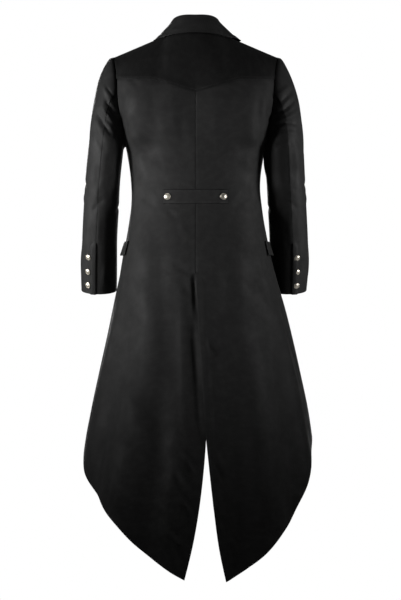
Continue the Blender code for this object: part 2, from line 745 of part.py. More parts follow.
def make_collar():
    """Turned down collar, its stand and its fall in one folded piece."""
    places = np.linspace(0.0, COLLAR_STATIONS[-1][0], COLLAR_STEPS + 1)
    stations = [(-1, place) for place in reversed(places)] + [(1, place) for place in places[1:]]
    sections = [collar_section(side, place) for side, place in stations]
    points = [[section[row] for section in sections] for row in range(len(sections[0]))]
    collar = Panel("collar", points, body_axis, out=CLOTH, into=0.0, colour=COLLAR_CLOTH, ease_edges=False)
    fall_faces = collar.normals[-1, len(sections) // 2]
    if fall_faces[1] < 0:
        collar.normals = -collar.normals
    return collar


def point_on_panel(panel, row, column):
    """Point on a panel's own facets, at a row and column that need not be whole numbers."""
    first_row = min(int(row), panel.points.shape[0] - 2)
    first_column = min(int(column), panel.points.shape[1] - 2)
    cell = panel.points[first_row:first_row + 2, first_column:first_column + 2]
    upper = mix(cell[0, 0], cell[0, 1], column - first_column)
    lower = mix(cell[1, 0], cell[1, 1], column - first_column)
    return mix(upper, lower, row - first_row)


def make_lapel(side, front):
    """Lapel turned back onto the front, its points taken from the front and moved out."""
    row_heights = [mix(NECK_SIDE_HEIGHT, ARMPIT_HEIGHT, share) for share in armhole_shares()[:-1]]
    row_heights += CHEST_HEIGHTS
    rows = range(len(row_heights))
    points = []
    for lapel_row in range(LAPEL_ROWS + 1):
        down = lapel_row / LAPEL_ROWS
        width = LAPEL_WIDTH_CURVE.at(down)[0] * SHOULDER_COLUMNS
        line = []
        for share in columns_of(LAPEL_COLUMNS):
            height = mix(LAPEL_TOP_CURVE.at(share)[0], LAPEL_BOTTOM, down)
            line.append(point_on_panel(front, np.interp(-height, -np.array(row_heights), rows), share * width))
        points.append(line)
    return Panel("lapel_left" if side > 0 else "lapel_right", points, body_axis,
                 out=LAPEL_GAP + CLOTH, into=-LAPEL_GAP, ease_edges=False)


def make_half_belt():
    """Half belt over the waist, its points taken from the back and moved out."""
    shares = columns_of(NECK_COLUMNS + SHOULDER_COLUMNS)[:BELT_COLUMNS + 1]
    columns = [(-1, across) for across in reversed(shares)] + [(1, across) for across in shares[1:]]
    points = [[back_point(side, across, height) for side, across in columns] for height in (BELT_TOP, BELT_BOTTOM)]
    return Panel("half_belt", points, body_axis, out=LAID_GAP + DOUBLE_CLOTH, into=-LAID_GAP, ease_edges=False)


def make_flap(side):
    """Pocket flap over the hip, standing off the skirt a little at its lower edge."""
    points = []
    for height, flare in ((FLAP_TOP, 0.0), (FLAP_BOTTOM, FLAP_FLARE)):
        row = []
        for angle in FLAP_ANGLES:
            turn = math.radians(angle)
            out = np.array([side * math.sin(turn), math.cos(turn), 0.0])
            row.append(ring_point(side, height, angle) + out * flare)
        points.append(row)
    return Panel("pocket_flap_left" if side > 0 else "pocket_flap_right", points, body_axis,
                 out=LAID_GAP + DOUBLE_CLOTH, into=-LAID_GAP, ease_edges=False)


def make_button(collection, name, radius, seat, normal):
    """Domed button turned about its middle, its flat back just off the cloth."""
    mesh = bpy.data.meshes.new(name)
    points = [(share * radius, 0.0, height * radius) for height, share in BUTTON_PROFILE]
    mesh.from_pydata(points, [(index, index + 1) for index in range(len(points) - 1)], [])
    mesh.materials.append(make_material(name, OLD_SILVER, BUTTON_ROUGHNESS, BUTTON_METALLIC))
    button = bpy.data.objects.new(name, mesh)
    collection.objects.link(button)
    button.location = seat + normal * BUTTON_GAP
    button.rotation_euler = Vector(normal).to_track_quat("Z", "Y").to_euler()
    turning = button.modifiers.new("Turning", "SCREW")
    turning.steps = turning.render_steps = BUTTON_STEPS
    turning.use_merge_vertices = True
    turning.merge_threshold = BUTTON_MERGE


def make_belt_buttons(collection):
    """One button near each end of the half belt."""
    for side, end in ((1, "left"), (-1, "right")):
        angle = math.degrees(math.asin(BELT_BUTTON_X / half_width(side, BELT_BUTTON_HEIGHT)))
        across = angle / SIDE_ANGLE
        upper = back_point(side, across, BELT_TOP)
        lower = back_point(side, across, BELT_BOTTOM)
        along = back_point(side, across + COLUMN_STEP, BELT_TOP) - back_point(side, across - COLUMN_STEP, BELT_TOP)
        normal = side * unit(np.cross(along, lower - upper))
        seat = mix(upper, lower, 0.5) + normal * (LAID_GAP + DOUBLE_CLOTH)
        make_button(collection, f"belt_button_{end}", BELT_BUTTON_RADIUS, seat, normal)


def make_cuff_buttons(collection):
    """Three buttons up each cuff, beside its vent."""
    for side, end, angle in ((1, "left", CUFF_BUTTON_ANGLES[0]), (-1, "right", CUFF_BUTTON_ANGLES[1])):
        for number, place in enumerate(reversed(CUFF_BUTTON_PLACES), start=1):
            seat = sleeve_point(side, angle, place)
            around = sleeve_point(side, angle + ANGLE_STEP, place) - sleeve_point(side, angle - ANGLE_STEP, place)
            along = sleeve_point(side, angle, place + PLACE_STEP) - sleeve_point(side, angle, place - PLACE_STEP)
            normal = unit(np.cross(around, along))
            middle = (sleeve_point(side, 0, place) + sleeve_point(side, 180, place)) / 2
            if normal @ (seat - middle) < 0:
                normal = -normal
            make_button(collection, f"cuff_button_{end}_{number}", CUFF_BUTTON_RADIUS, seat, normal)


def main():
    """Build every piece of the coat."""
    collection = make_collection()
    panels = [make_yoke()]
    fronts = {side: make_front(side) for side in (1, -1)}
    for side in (1, -1):
        panels += [make_back(side), fronts[side]]
        panels += make_sleeve(side)
    share_seam_normals(panels)
    panels += [make_collar(), make_half_belt()]
    for side in (1, -1):
        panels += [make_lapel(side, fronts[side]), make_flap(side)]
    for panel in panels:
        make_cloth(collection, panel)
    make_belt_buttons(collection)
    make_cuff_buttons(collection)


main()
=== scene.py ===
"""Looks of a long black tailcoat, filled out in its hanging shape.

Every cut piece is a thin cloth shell on the form of its own solid, with its creases listed one by one.
Lengths are in metres. The coat's front faces -Y, +Z is up and its own left is +X, so its back faces +Y.
"""

import logging
import math
from collections.abc import Callable
from dataclasses import dataclass, field
from enum import Enum, IntEnum

import bmesh
import bpy
import numpy as np
from mathutils import Matrix, Vector, noise
from mathutils.bvhtree import BVHTree
from mathutils.kdtree import KDTree


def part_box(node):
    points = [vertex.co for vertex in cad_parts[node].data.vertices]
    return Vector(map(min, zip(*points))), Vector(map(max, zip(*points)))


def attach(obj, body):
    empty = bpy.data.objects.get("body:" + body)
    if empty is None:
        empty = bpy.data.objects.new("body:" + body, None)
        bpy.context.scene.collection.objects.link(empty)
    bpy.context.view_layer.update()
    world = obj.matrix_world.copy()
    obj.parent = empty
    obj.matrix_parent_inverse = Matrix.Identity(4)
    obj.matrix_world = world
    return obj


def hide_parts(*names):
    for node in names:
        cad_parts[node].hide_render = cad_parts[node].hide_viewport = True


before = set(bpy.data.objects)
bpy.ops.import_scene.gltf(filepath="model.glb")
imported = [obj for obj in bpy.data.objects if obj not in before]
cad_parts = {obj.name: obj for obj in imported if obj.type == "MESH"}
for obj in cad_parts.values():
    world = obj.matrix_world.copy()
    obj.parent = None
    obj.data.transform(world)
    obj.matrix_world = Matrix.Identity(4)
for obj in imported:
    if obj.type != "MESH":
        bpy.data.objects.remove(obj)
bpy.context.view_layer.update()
log = logging.getLogger("tailcoat")

ROOT = "root"
UV_NAME = "cloth"

# How the outer face of a solid's wall is found: the reach of the search, where it starts and how
# squarely the inner face looks back.
MERGE_DISTANCE = 0.00002
WALL_SEARCH = 0.006
WALL_START = 0.0003
WALL_FACING = -0.8

# How a sheet is made smooth.
CAGE_ROUNDS = 4
GRID_PULL = 1.5
CORNER_TURN = math.radians(28)
SMOOTH_ANGLE = math.radians(50)

# How a sheet is sewn: which edges meet, how far the pull reaches, and the widths of a seam's dip and of
# a free edge's roll. The pressed line runs beside a free edge.
SEAM_REACH = 0.0036
GAP_FADE = 0.006
DIP_WIDTH = 0.0017
ROLL_WIDTH = 0.0009
PRESSED_DEPTH = 0.00025
PRESSED_AT = 0.009
PRESSED_WIDTH = 0.002

# How a crease runs out at its ends, how its flanks swell, and how soon it fades on turned-away cloth.
TAPER_SHARE = 0.02
TAPER_POWER = 0.7
FLANK_SWELL = 0.8
FACING_GAIN = 2.5

# How much longer the unevenness of a sheet is down the piece than across it.
UNEVEN_STRETCH = 0.6


class Facing(Enum):
    """Side that a crease is drawn on: the axes of its two coordinates and the direction it faces."""

    BACK = ((0, 2), (0.0, 1.0, 0.0))
    FRONT = ((0, 2), (0.0, -1.0, 0.0))
    LEFT = ((1, 2), (1.0, 0.0, 0.0))
    RIGHT = ((1, 2), (-1.0, 0.0, 0.0))


class Side(IntEnum):
    """Side of the coat, with the sign of its x."""

    LEFT = 1
    RIGHT = -1


class Rim(IntEnum):
    """Place of each material on a piece: its cloth, and the painted shade along its deep seams and along its
    pressed seams.
    """

    CLOTH = 0
    SEAM = 1
    PRESSED = 2


@dataclass(frozen=True)
class Crease:
    """A soft ridge or trough along a short bowed line, given as seen from one side.

    A depth above zero is a ridge and one below zero is a trough. The bow is how far the middle of the
    line is pushed sideways.
    """

    start: tuple[float, float]
    end: tuple[float, float]
    depth: float
    width: float
    bow: float = 0.0
    steps: int = 10

    def line(self) -> np.ndarray:
        """Points of the bowed line.

        Returns:
            Array of steps + 1 points with two coordinates.
        """
        share = np.linspace(0.0, 1.0, self.steps + 1)[:, None]
        start = np.array(self.start)
        along = np.array(self.end) - start
        square = np.array([-along[1], along[0]]) / np.linalg.norm(along)
        return start + along * share + square * self.bow * np.sin(math.pi * share)

    def lift(self, places: np.ndarray) -> np.ndarray:
        """Height of the crease at places on its side.

        Args:
            places: Array of points with two coordinates.

        Returns:
            Lift of the cloth at each place.
        """
        points = self.line()
        best = np.full(len(places), np.inf)
        share = np.zeros(len(places))
        for index in range(self.steps):
            first = points[index]
            along = points[index + 1] - first
            length = np.linalg.norm(along)
            offset = places - first
            part = np.clip(offset @ along / length ** 2, 0.0, 1.0)
            away = offset - part[:, None] * along
            distance = np.linalg.norm(away, axis=1)
            nearer = distance < best
            best = np.where(nearer, distance, best)
            share = np.where(nearer, (index + part) / self.steps, share)
        ratio = (best / self.width) ** 2
        taper = np.sin(math.pi * np.clip(share, TAPER_SHARE, 1 - TAPER_SHARE)) ** TAPER_POWER
        return self.depth * taper * (1 - FLANK_SWELL * ratio) * np.exp(-ratio)

    def mirrored(self, start_shift: tuple[float, float], end_shift: tuple[float, float],
                 depth: float, width: float) -> "Crease":
        """Crease of the other side of the coat, which is never quite the same.

        Args:
            start_shift: How far the start moves once it is mirrored.
            end_shift: How far the end moves.
            depth: Factor of the depth.
            width: Factor of the width.

        Returns:
            The crease on the other side.
        """
        start = (-self.start[0] + start_shift[0], self.start[1] + start_shift[1])
        end = (-self.end[0] + end_shift[0], self.end[1] + end_shift[1])
        return Crease(start, end, self.depth * depth, self.width * width, -self.bow)


@dataclass(frozen=True)
class CoatCloth:
    """Black coating cloth: a fine twill with a soft sheen, slight wear and uneven pressing."""

    name: str
    colour: tuple[float, float, float, float] = (0.0060, 0.0060, 0.0060, 1.0)
    worn_colour: tuple[float, float, float, float] = (0.0100, 0.0100, 0.0098, 1.0)
    roughness: tuple[float, float] = (0.62, 0.80)
    specular: float = 0.14
    sheen: float = 0.03
    sheen_roughness: float = 0.42
    twill_pitch: float = 0.0013
    twill_height: float = 0.00010
    nap_height: float = 0.00035

    def build(self) -> bpy.types.Material:
        """Material of the cloth.

        Returns:
            The node material, which reads the piece's own cloth map in metres.
        """
        material = bpy.data.materials.new(self.name)
        material.use_nodes = True
        nodes, links = material.node_tree.nodes, material.node_tree.links
        shader = nodes["Principled BSDF"]
        shader.inputs["Specular IOR Level"].default_value = self.specular
        shader.inputs["Sheen Weight"].default_value = self.sheen
        shader.inputs["Sheen Roughness"].default_value = self.sheen_roughness
        shader.inputs["Sheen Tint"].default_value = (1.0, 1.0, 1.0, 1.0)
        cloth_map = nodes.new("ShaderNodeUVMap")
        cloth_map.uv_map = UV_NAME
        weave = nodes.new("ShaderNodeGroup")
        weave.node_tree = twill_group()
        weave.inputs["Pitch"].default_value = self.twill_pitch
        links.new(cloth_map.outputs["UV"], weave.inputs["Cloth map"])
        mottle = nodes.new("ShaderNodeGroup")
        mottle.node_tree = nap_group()
        links.new(cloth_map.outputs["UV"], mottle.inputs["Cloth map"])
        tone = nodes.new("ShaderNodeMix")
        tone.data_type = "RGBA"
        tone.inputs["A"].default_value = self.colour
        tone.inputs["B"].default_value = self.worn_colour
        links.new(mottle.outputs["Wear"], tone.inputs["Factor"])
        yarn = nodes.new("ShaderNodeMix")
        yarn.data_type = "RGBA"
        yarn.blend_type = "MULTIPLY"
        yarn.inputs["Factor"].default_value = 1.0
        links.new(tone.outputs["Result"], yarn.inputs["A"])
        links.new(weave.outputs["Yarn tone"], yarn.inputs["B"])
        links.new(yarn.outputs["Result"], shader.inputs["Base Color"])
        rough = nodes.new("ShaderNodeMapRange")
        rough.inputs["To Min"].default_value = self.roughness[1]
        rough.inputs["To Max"].default_value = self.roughness[0]
        links.new(mottle.outputs["Press"], rough.inputs["Value"])
        links.new(rough.outputs["Result"], shader.inputs["Roughness"])
        nap = nodes.new("ShaderNodeBump")
        nap.inputs["Distance"].default_value = self.nap_height
        links.new(mottle.outputs["Nap"], nap.inputs["Height"])
        twill = nodes.new("ShaderNodeBump")
        twill.inputs["Distance"].default_value = self.twill_height
        links.new(weave.outputs["Yarn height"], twill.inputs["Height"])
        links.new(nap.outputs["Normal"], twill.inputs["Normal"])
        links.new(twill.outputs["Normal"], shader.inputs["Normal"])
        return material


@dataclass(frozen=True)
class Weave:
    """Proportions of the twill: its ribs, the yarns across them and how far the yarns' tone spans."""

    rib_scale: float = 0.31
    rib_distortion: float = 0.6
    rib_detail: float = 1.0
    yarn_scale: float = 1.6
    yarn_detail: float = 2.0
    fullest: float = 0.6
    tone: tuple[float, float] = (0.72, 1.18)


WEAVE = Weave()


@dataclass(frozen=True)
class Cloud:
    """Noise behind one output of the nap: its scale and detail, and the levels that become 0 and 1."""

    output: str
    scale: float
    detail: float
    low: float
    high: float


NAP_CLOUDS = (
    Cloud("Nap", 160.0, 3.0, 0.0, 1.0),
    Cloud("Press", 22.0, 3.0, 0.3, 0.7),
    Cloud("Wear", 60.0, 5.0, 0.42, 0.72),
)


def group_with(name: str, inputs: dict[str, str], outputs: dict[str, str]) -> bpy.types.NodeTree:
    """New shader node group with its sockets.

    Args:
        name: Name of the group.
        inputs: Socket type of each named input.
        outputs: Socket type of each named output.

    Returns:
        The group, with its input and output nodes in place.
    """
    group = bpy.data.node_groups.new(name, "ShaderNodeTree")
    for label, kind in inputs.items():
        group.interface.new_socket(label, in_out="INPUT", socket_type=kind)
    for label, kind in outputs.items():
        group.interface.new_socket(label, in_out="OUTPUT", socket_type=kind)
    group.nodes.new("NodeGroupInput").name = "In"
    group.nodes.new("NodeGroupOutput").name = "Out"
    return group


def twill_group() -> bpy.types.NodeTree:
    """Twill weave: diagonal ribs crossed by single yarns.

    Returns:
        The group, built on its first use.
    """
    name = "Twill weave"
    if name in bpy.data.node_groups:
        return bpy.data.node_groups[name]
    group = group_with(name, {"Cloth map": "NodeSocketVector", "Pitch": "NodeSocketFloat"},
                       {"Yarn height": "NodeSocketFloat", "Yarn tone": "NodeSocketColor"})
    nodes, links = group.nodes, group.links
    counts = nodes.new("ShaderNodeVectorMath")
    counts.operation = "DIVIDE"
    links.new(nodes["In"].outputs["Cloth map"], counts.inputs[0])
    links.new(nodes["In"].outputs["Pitch"], counts.inputs[1])
    ribs = nodes.new("ShaderNodeTexWave")
    ribs.wave_type = "BANDS"
    ribs.bands_direction = "DIAGONAL"
    ribs.inputs["Scale"].default_value = WEAVE.rib_scale
    ribs.inputs["Distortion"].default_value = WEAVE.rib_distortion
    ribs.inputs["Detail"].default_value = WEAVE.rib_detail
    links.new(counts.outputs["Vector"], ribs.inputs["Vector"])
    yarns = nodes.new("ShaderNodeTexNoise")
    yarns.inputs["Scale"].default_value = WEAVE.yarn_scale
    yarns.inputs["Detail"].default_value = WEAVE.yarn_detail
    links.new(counts.outputs["Vector"], yarns.inputs["Vector"])
    both = nodes.new("ShaderNodeMath")
    both.operation = "MULTIPLY"
    links.new(ribs.outputs["Fac"], both.inputs[0])
    links.new(yarns.outputs["Fac"], both.inputs[1])
    links.new(both.outputs["Value"], nodes["Out"].inputs["Yarn height"])
    tone = nodes.new("ShaderNodeMapRange")
    tone.inputs["From Max"].default_value = WEAVE.fullest
    tone.inputs["To Min"].default_value, tone.inputs["To Max"].default_value = WEAVE.tone
    links.new(both.outputs["Value"], tone.inputs["Value"])
    colour = nodes.new("ShaderNodeCombineColor")
    for channel in ("Red", "Green", "Blue"):
        links.new(tone.outputs["Result"], colour.inputs[channel])
    links.new(colour.outputs["Color"], nodes["Out"].inputs["Yarn tone"])
    return group


def nap_group() -> bpy.types.NodeTree:
    """Nap of the cloth: slow unevenness, pressed patches and slight wear.

    Returns:
        The group, built on its first use.
    """
    name = "Nap and wear"
    if name in bpy.data.node_groups:
        return bpy.data.node_groups[name]
    group = group_with(name, {"Cloth map": "NodeSocketVector"},
                       {cloud.output: "NodeSocketFloat" for cloud in NAP_CLOUDS})
    nodes, links = group.nodes, group.links
    for cloud in NAP_CLOUDS:
        puffs = nodes.new("ShaderNodeTexNoise")
        puffs.inputs["Scale"].default_value = cloud.scale
        puffs.inputs["Detail"].default_value = cloud.detail
        links.new(nodes["In"].outputs["Cloth map"], puffs.inputs["Vector"])
        span = nodes.new("ShaderNodeMapRange")
        span.inputs["From Min"].default_value = cloud.low
        span.inputs["From Max"].default_value = cloud.high
        links.new(puffs.outputs["Fac"], span.inputs["Value"])
        links.new(span.outputs["Result"], nodes["Out"].inputs[cloud.output])
    return group


@dataclass(frozen=True)
class OldSilver:
    """Old silver of the buttons, dark where it isn't rubbed."""

    name: str = "Old silver"
    bright: tuple[float, float, float, float] = (0.62, 0.58, 0.50, 1.0)
    dark: tuple[float, float, float, float] = (0.10, 0.085, 0.065, 1.0)
    roughness: tuple[float, float] = (0.30, 0.55)
    tarnish_scale: float = 420.0
    tarnish_detail: float = 4.0
    tarnish_share: float = 0.5
    levels: tuple[float, float] = (0.25, 1.15)

    def build(self) -> bpy.types.Material:
        """Material of the buttons.

        Returns:
            The node material, which reads object coordinates.
        """
        material = bpy.data.materials.new(self.name)
        material.use_nodes = True
        nodes, links = material.node_tree.nodes, material.node_tree.links
        shader = nodes["Principled BSDF"]
        shader.inputs["Metallic"].default_value = 1.0
        place = nodes.new("ShaderNodeTexCoord")
        cloud = nodes.new("ShaderNodeTexNoise")
        cloud.inputs["Scale"].default_value = self.tarnish_scale
        cloud.inputs["Detail"].default_value = self.tarnish_detail
        links.new(place.outputs["Object"], cloud.inputs["Vector"])
        rubbed = nodes.new("ShaderNodeAttribute")
        rubbed.attribute_name = "rubbed"
        mask = nodes.new("ShaderNodeMath")
        mask.operation = "MULTIPLY_ADD"
        mask.inputs[1].default_value = self.tarnish_share
        links.new(cloud.outputs["Fac"], mask.inputs[0])
        links.new(rubbed.outputs["Fac"], mask.inputs[2])
        level = nodes.new("ShaderNodeMapRange")
        level.inputs["From Min"].default_value, level.inputs["From Max"].default_value = self.levels
        links.new(mask.outputs["Value"], level.inputs["Value"])
        tone = nodes.new("ShaderNodeMix")
        tone.data_type = "RGBA"
        tone.inputs["A"].default_value = self.dark
        tone.inputs["B"].default_value = self.bright
        links.new(level.outputs["Result"], tone.inputs["Factor"])
        links.new(tone.outputs["Result"], shader.inputs["Base Color"])
        rough = nodes.new("ShaderNodeMapRange")
        rough.inputs["To Min"].default_value = self.roughness[1]
        rough.inputs["To Max"].default_value = self.roughness[0]
        links.new(level.outputs["Result"], rough.inputs["Value"])
        links.new(rough.outputs["Result"], shader.inputs["Roughness"])
        return material


@dataclass(frozen=True)
class PlainFinish:
    """One plain colour, lightly uneven, for thread and floor."""

    name: str
    colour: tuple[float, float, float, float]
    roughness: float
    unevenness: float = 0.1
    scale: float = 300.0

    def build(self) -> bpy.types.Material:
        """Material of one colour.

        Returns:
            The node material, which reads object coordinates.
        """
        material = bpy.data.materials.new(self.name)
        material.use_nodes = True
        nodes, links = material.node_tree.nodes, material.node_tree.links
        shader = nodes["Principled BSDF"]
        shader.inputs["Roughness"].default_value = self.roughness
        place = nodes.new("ShaderNodeTexCoord")
        cloud = nodes.new("ShaderNodeTexNoise")
        cloud.inputs["Scale"].default_value = self.scale
        links.new(place.outputs["Object"], cloud.inputs["Vector"])
        tone = nodes.new("ShaderNodeMix")
        tone.data_type = "RGBA"
        tone.inputs["A"].default_value = self.colour
        tone.inputs["B"].default_value = tuple(c * (1 - self.unevenness) for c in self.colour[:3]) + (1.0,)
        links.new(cloud.outputs["Fac"], tone.inputs["Factor"])
        links.new(tone.outputs["Result"], shader.inputs["Base Color"])
        return material


@dataclass(frozen=True)
class Finishes:
    """Materials of the coat: its cloth, darker copies of it with painted shade for deep and for pressed
    seams, and the thread.
    """

    cloth: bpy.types.Material
    seam: bpy.types.Material
    pressed_seam_shade: bpy.types.Material
    thread: bpy.types.Material


def pick(obj: bpy.types.Object) -> None:
    """Select one object alone and make it active.

    Args:
        obj: The object.
    """
    bpy.ops.object.select_all(action="DESELECT")
    obj.select_set(True)
    bpy.context.view_layer.objects.active = obj


def points_of(mesh: bpy.types.Mesh, what: str = "co") -> np.ndarray:
    """Vertex positions or normals of a mesh.

    Args:
        mesh: The mesh.
        what: Either "co" or "normal".

    Returns:
        Array with a row for each vertex.
    """
    values = np.zeros(len(mesh.vertices) * 3)
    mesh.vertices.foreach_get(what, values)
    return values.reshape(-1, 3)


def place_points(mesh: bpy.types.Mesh, points: np.ndarray) -> None:
    """Move the vertices of a mesh.

    Args:
        mesh: The mesh.
        points: Array with a row for each vertex.
    """
    mesh.vertices.foreach_set("co", points.ravel())
    mesh.update()


def tree_of(points: np.ndarray) -> KDTree:
    """Search tree of points.

    Args:
        points: Array of points.

    Returns:
        The balanced tree, with the rows as its indexes.
    """
    tree = KDTree(len(points))
    for index, place in enumerate(points):
        tree.insert(place, index)
    tree.balance()
    return tree


def distances(points: np.ndarray, line: np.ndarray) -> np.ndarray:
    """Distance of points from a line of points.

    Args:
        points: Array of points.
        line: Array of points along the line.

    Returns:
        A distance for each point.
    """
    tree = tree_of(line)
    return np.array([tree.find(place)[2] for place in points])


def shared_edge(own: np.ndarray, others: np.ndarray) -> np.ndarray:
    """Points of one outline that lie on another.

    Args:
        own: Points along one piece's edge.
        others: Points along the other pieces' edges.

    Returns:
        Array of the points on the seam.
    """
    return own[distances(own, others) < SEAM_REACH]


def ease(share: np.ndarray) -> np.ndarray:
    """Smooth step from 0 to 1, level at both ends."""
    return share ** 2 * (3 - 2 * share)


def apply_modifier(obj: bpy.types.Object, kind: str, **settings: object) -> None:
    """Add a modifier to an object and apply it at once.

    Args:
        obj: The object.
        kind: Type of the modifier.
        settings: Values of its properties.
    """
    pick(obj)
    modifier = obj.modifiers.new(kind.title(), kind)
    for key, value in settings.items():
        setattr(modifier, key, value)
    bpy.ops.object.modifier_apply(modifier=modifier.name)


@dataclass(frozen=True)
class Spine:
    """Middle line that a piece of cloth wraps round: rows of height, x and y, from the top down."""

    rows: tuple[tuple[float, float, float], ...]

    def around(self, points: np.ndarray) -> tuple[np.ndarray, np.ndarray]:
        """Angle and radius of points round the line.

        Args:
            points: Array of points.

        Returns:
            Angles in radians, without a jump inside the piece, and radii.
        """
        table = np.array(self.rows)[::-1]
        middle = [np.interp(points[:, 2], table[:, 0], table[:, column]) for column in (1, 2)]
        away = points[:, :2] - np.stack(middle, axis=1)
        facing = away.mean(axis=0)
        start = math.atan2(facing[0], facing[1])
        turn = np.arctan2(away[:, 0], away[:, 1]) - start
        return (turn + math.pi) % (2 * math.pi) - math.pi, np.linalg.norm(away, axis=1)


BODY_SPINE = Spine(((0.1, 0.0, 0.0), (-1.5, 0.0, 0.0)))


@dataclass(frozen=True)
class Relaxed:
    """Band of heights in which a sheet is smoothed, all but a margin along its edges."""

    low: float
    high: float
    rounds: int = 60
    margin: float = 0.006


@dataclass
class ClothShell:
    """One cut piece as a thin shell on the outer face of its solid's wall."""

    node: str
    flat: tuple[float, float]
    area: float
    held: str = "hung"
    rests_on: tuple[str, ...] = ()
    wall: float = 0.0019
    border_rows: tuple[float, ...] = (0.0008, 0.0007)
    detail: int = 3
    spine: Spine = BODY_SPINE
    slot: str = "cloth"
    unevenness: float = 0.0004
    piece: bpy.types.Object = field(init=False, compare=False, repr=False)
    edge: np.ndarray = field(init=False, compare=False, repr=False)

    def cut_out(self) -> None:
        """Make the piece's open sheet of quads from the outer face of the solid's wall."""
        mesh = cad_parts[self.node].data.copy()
        self.piece = bpy.data.objects.new(f"cloth_{self.node}", mesh)
        bpy.context.scene.collection.objects.link(self.piece)
        mesh.materials.clear()
        pick(self.piece)
        bpy.ops.object.mode_set(mode="EDIT")
        bpy.ops.mesh.select_all(action="SELECT")
        bpy.ops.mesh.remove_doubles(threshold=MERGE_DISTANCE)
        bpy.ops.mesh.select_all(action="DESELECT")
        self.select_edge_of_wall()
        bpy.ops.mesh.delete(type="FACE")
        bpy.ops.mesh.separate(type="LOOSE")
        bpy.ops.object.mode_set(mode="OBJECT")
        sheets = sorted(bpy.context.selected_objects, key=lambda o: sum(p.area for p in o.data.polygons))
        self.piece = sheets.pop()
        for spare in sheets:
            bpy.data.meshes.remove(spare.data)
        self.piece.name = f"cloth_{self.node}"
        pick(self.piece)
        bpy.ops.object.mode_set(mode="EDIT")
        bpy.ops.mesh.select_all(action="SELECT")
        half_turn = math.pi
        bpy.ops.mesh.tris_convert_to_quads(face_threshold=half_turn, shape_threshold=half_turn,
                                           topology_influence=GRID_PULL)
        bpy.ops.mesh.customdata_custom_splitnormals_clear()
        bpy.ops.object.mode_set(mode="OBJECT")

    def select_edge_of_wall(self) -> None:
        """Select the faces that join the wall's outer and inner faces."""
        wall = bmesh.from_edit_mesh(self.piece.data)
        wall.normal_update()
        tree = BVHTree.FromBMesh(wall)
        for face in wall.faces:
            start = face.calc_center_median() - face.normal * WALL_START
            found, normal, _, _ = tree.ray_cast(start, -face.normal, WALL_SEARCH)
            if found is None or normal.dot(face.normal) > WALL_FACING:
                face.select_set(True)
        bmesh.update_edit_mesh(self.piece.data)

    def keep_corners(self) -> None:
        """Mark the sharp corners of the sheet's outline, so that smoothing leaves them sharp."""
        pick(self.piece)
        bpy.ops.object.mode_set(mode="EDIT")
        bpy.ops.mesh.select_all(action="DESELECT")
        sheet = bmesh.from_edit_mesh(self.piece.data)
        for vertex in sheet.verts:
            rims = [edge for edge in vertex.link_edges if edge.is_boundary]
            if len(rims) == 2:
                ways = [edge.other_vert(vertex).co - vertex.co for edge in rims]
                vertex.select_set(math.pi - ways[0].angle(ways[1]) > CORNER_TURN)
        bmesh.update_edit_mesh(self.piece.data)
        bpy.ops.transform.vert_crease(value=1.0)
        bpy.ops.object.mode_set(mode="OBJECT")

    def add_border_rows(self) -> None:
        """Lay narrow rows of faces along the sheet's edge, for its seams and stitching lines."""
        pick(self.piece)
        bpy.ops.object.mode_set(mode="EDIT")
        bpy.ops.mesh.select_all(action="SELECT")
        for width in self.border_rows:
            bpy.ops.mesh.inset(thickness=width, use_boundary=True, use_even_offset=False)
        bpy.ops.object.mode_set(mode="OBJECT")

    def smooth(self) -> None:
        """Subdivide the sheet into a smooth surface that still passes through every point of the solid."""
        target = points_of(self.piece.data)
        count = len(target)
        smoothing = self.piece.modifiers.new("Smooth", "SUBSURF")
        smoothing.boundary_smooth = "PRESERVE_CORNERS"
        smoothing.levels = smoothing.render_levels = 1
        for _ in range(CAGE_ROUNDS):
            graph = bpy.context.evaluated_depsgraph_get()
            made = points_of(self.piece.evaluated_get(graph).data)[:count]
            place_points(self.piece.data, points_of(self.piece.data) + target - made)
        smoothing.levels = smoothing.render_levels = self.detail
        pick(self.piece)
        bpy.ops.object.modifier_apply(modifier=smoothing.name)

    def outline(self, spacing: float = 0.0008) -> np.ndarray:
        """Closely spaced points along the sheet's edge.

        Args:
            spacing: Longest distance between two of them.

        Returns:
            Array of points.
        """
        sheet = bmesh.new()
        sheet.from_mesh(self.piece.data)
        runs = []
        for edge in sheet.edges:
            if edge.is_boundary:
                first, last = (np.array(vertex.co) for vertex in edge.verts)
                steps = max(2, math.ceil(edge.calc_length() / spacing))
                runs.append(first + (last - first) * np.linspace(0, 1, steps, endpoint=False)[:, None])
        sheet.free()
        return np.concatenate(runs)

    def map_cloth(self) -> None:
        """Give the sheet a map in metres: across round the spine, along down the piece."""
        mesh = self.piece.data
        points = points_of(mesh)
        angle, radius = self.spine.around(points)
        places = np.stack([angle * radius, points[:, 2]], axis=1)
        layer = mesh.uv_layers.get(UV_NAME) or mesh.uv_layers.new(name=UV_NAME)
        corners = np.zeros(len(mesh.loops), dtype=int)
        mesh.loops.foreach_get("vertex_index", corners)
        layer.data.foreach_set("uv", places[corners].ravel())
        for name in [other.name for other in mesh.uv_layers if other.name != UV_NAME]:
            mesh.uv_layers.remove(mesh.uv_layers[name])

    def rim_faces(self) -> list[tuple[int, Vector]]:
        """Faces along the sheet's edge.

        Returns:
            Index of each face and the middle of its side on the edge.
        """
        sheet = bmesh.new()
        sheet.from_mesh(self.piece.data)
        found = [(edge.link_faces[0].index, (edge.verts[0].co + edge.verts[1].co) / 2)
                 for edge in sheet.edges if edge.is_boundary]
        sheet.free()
        return found

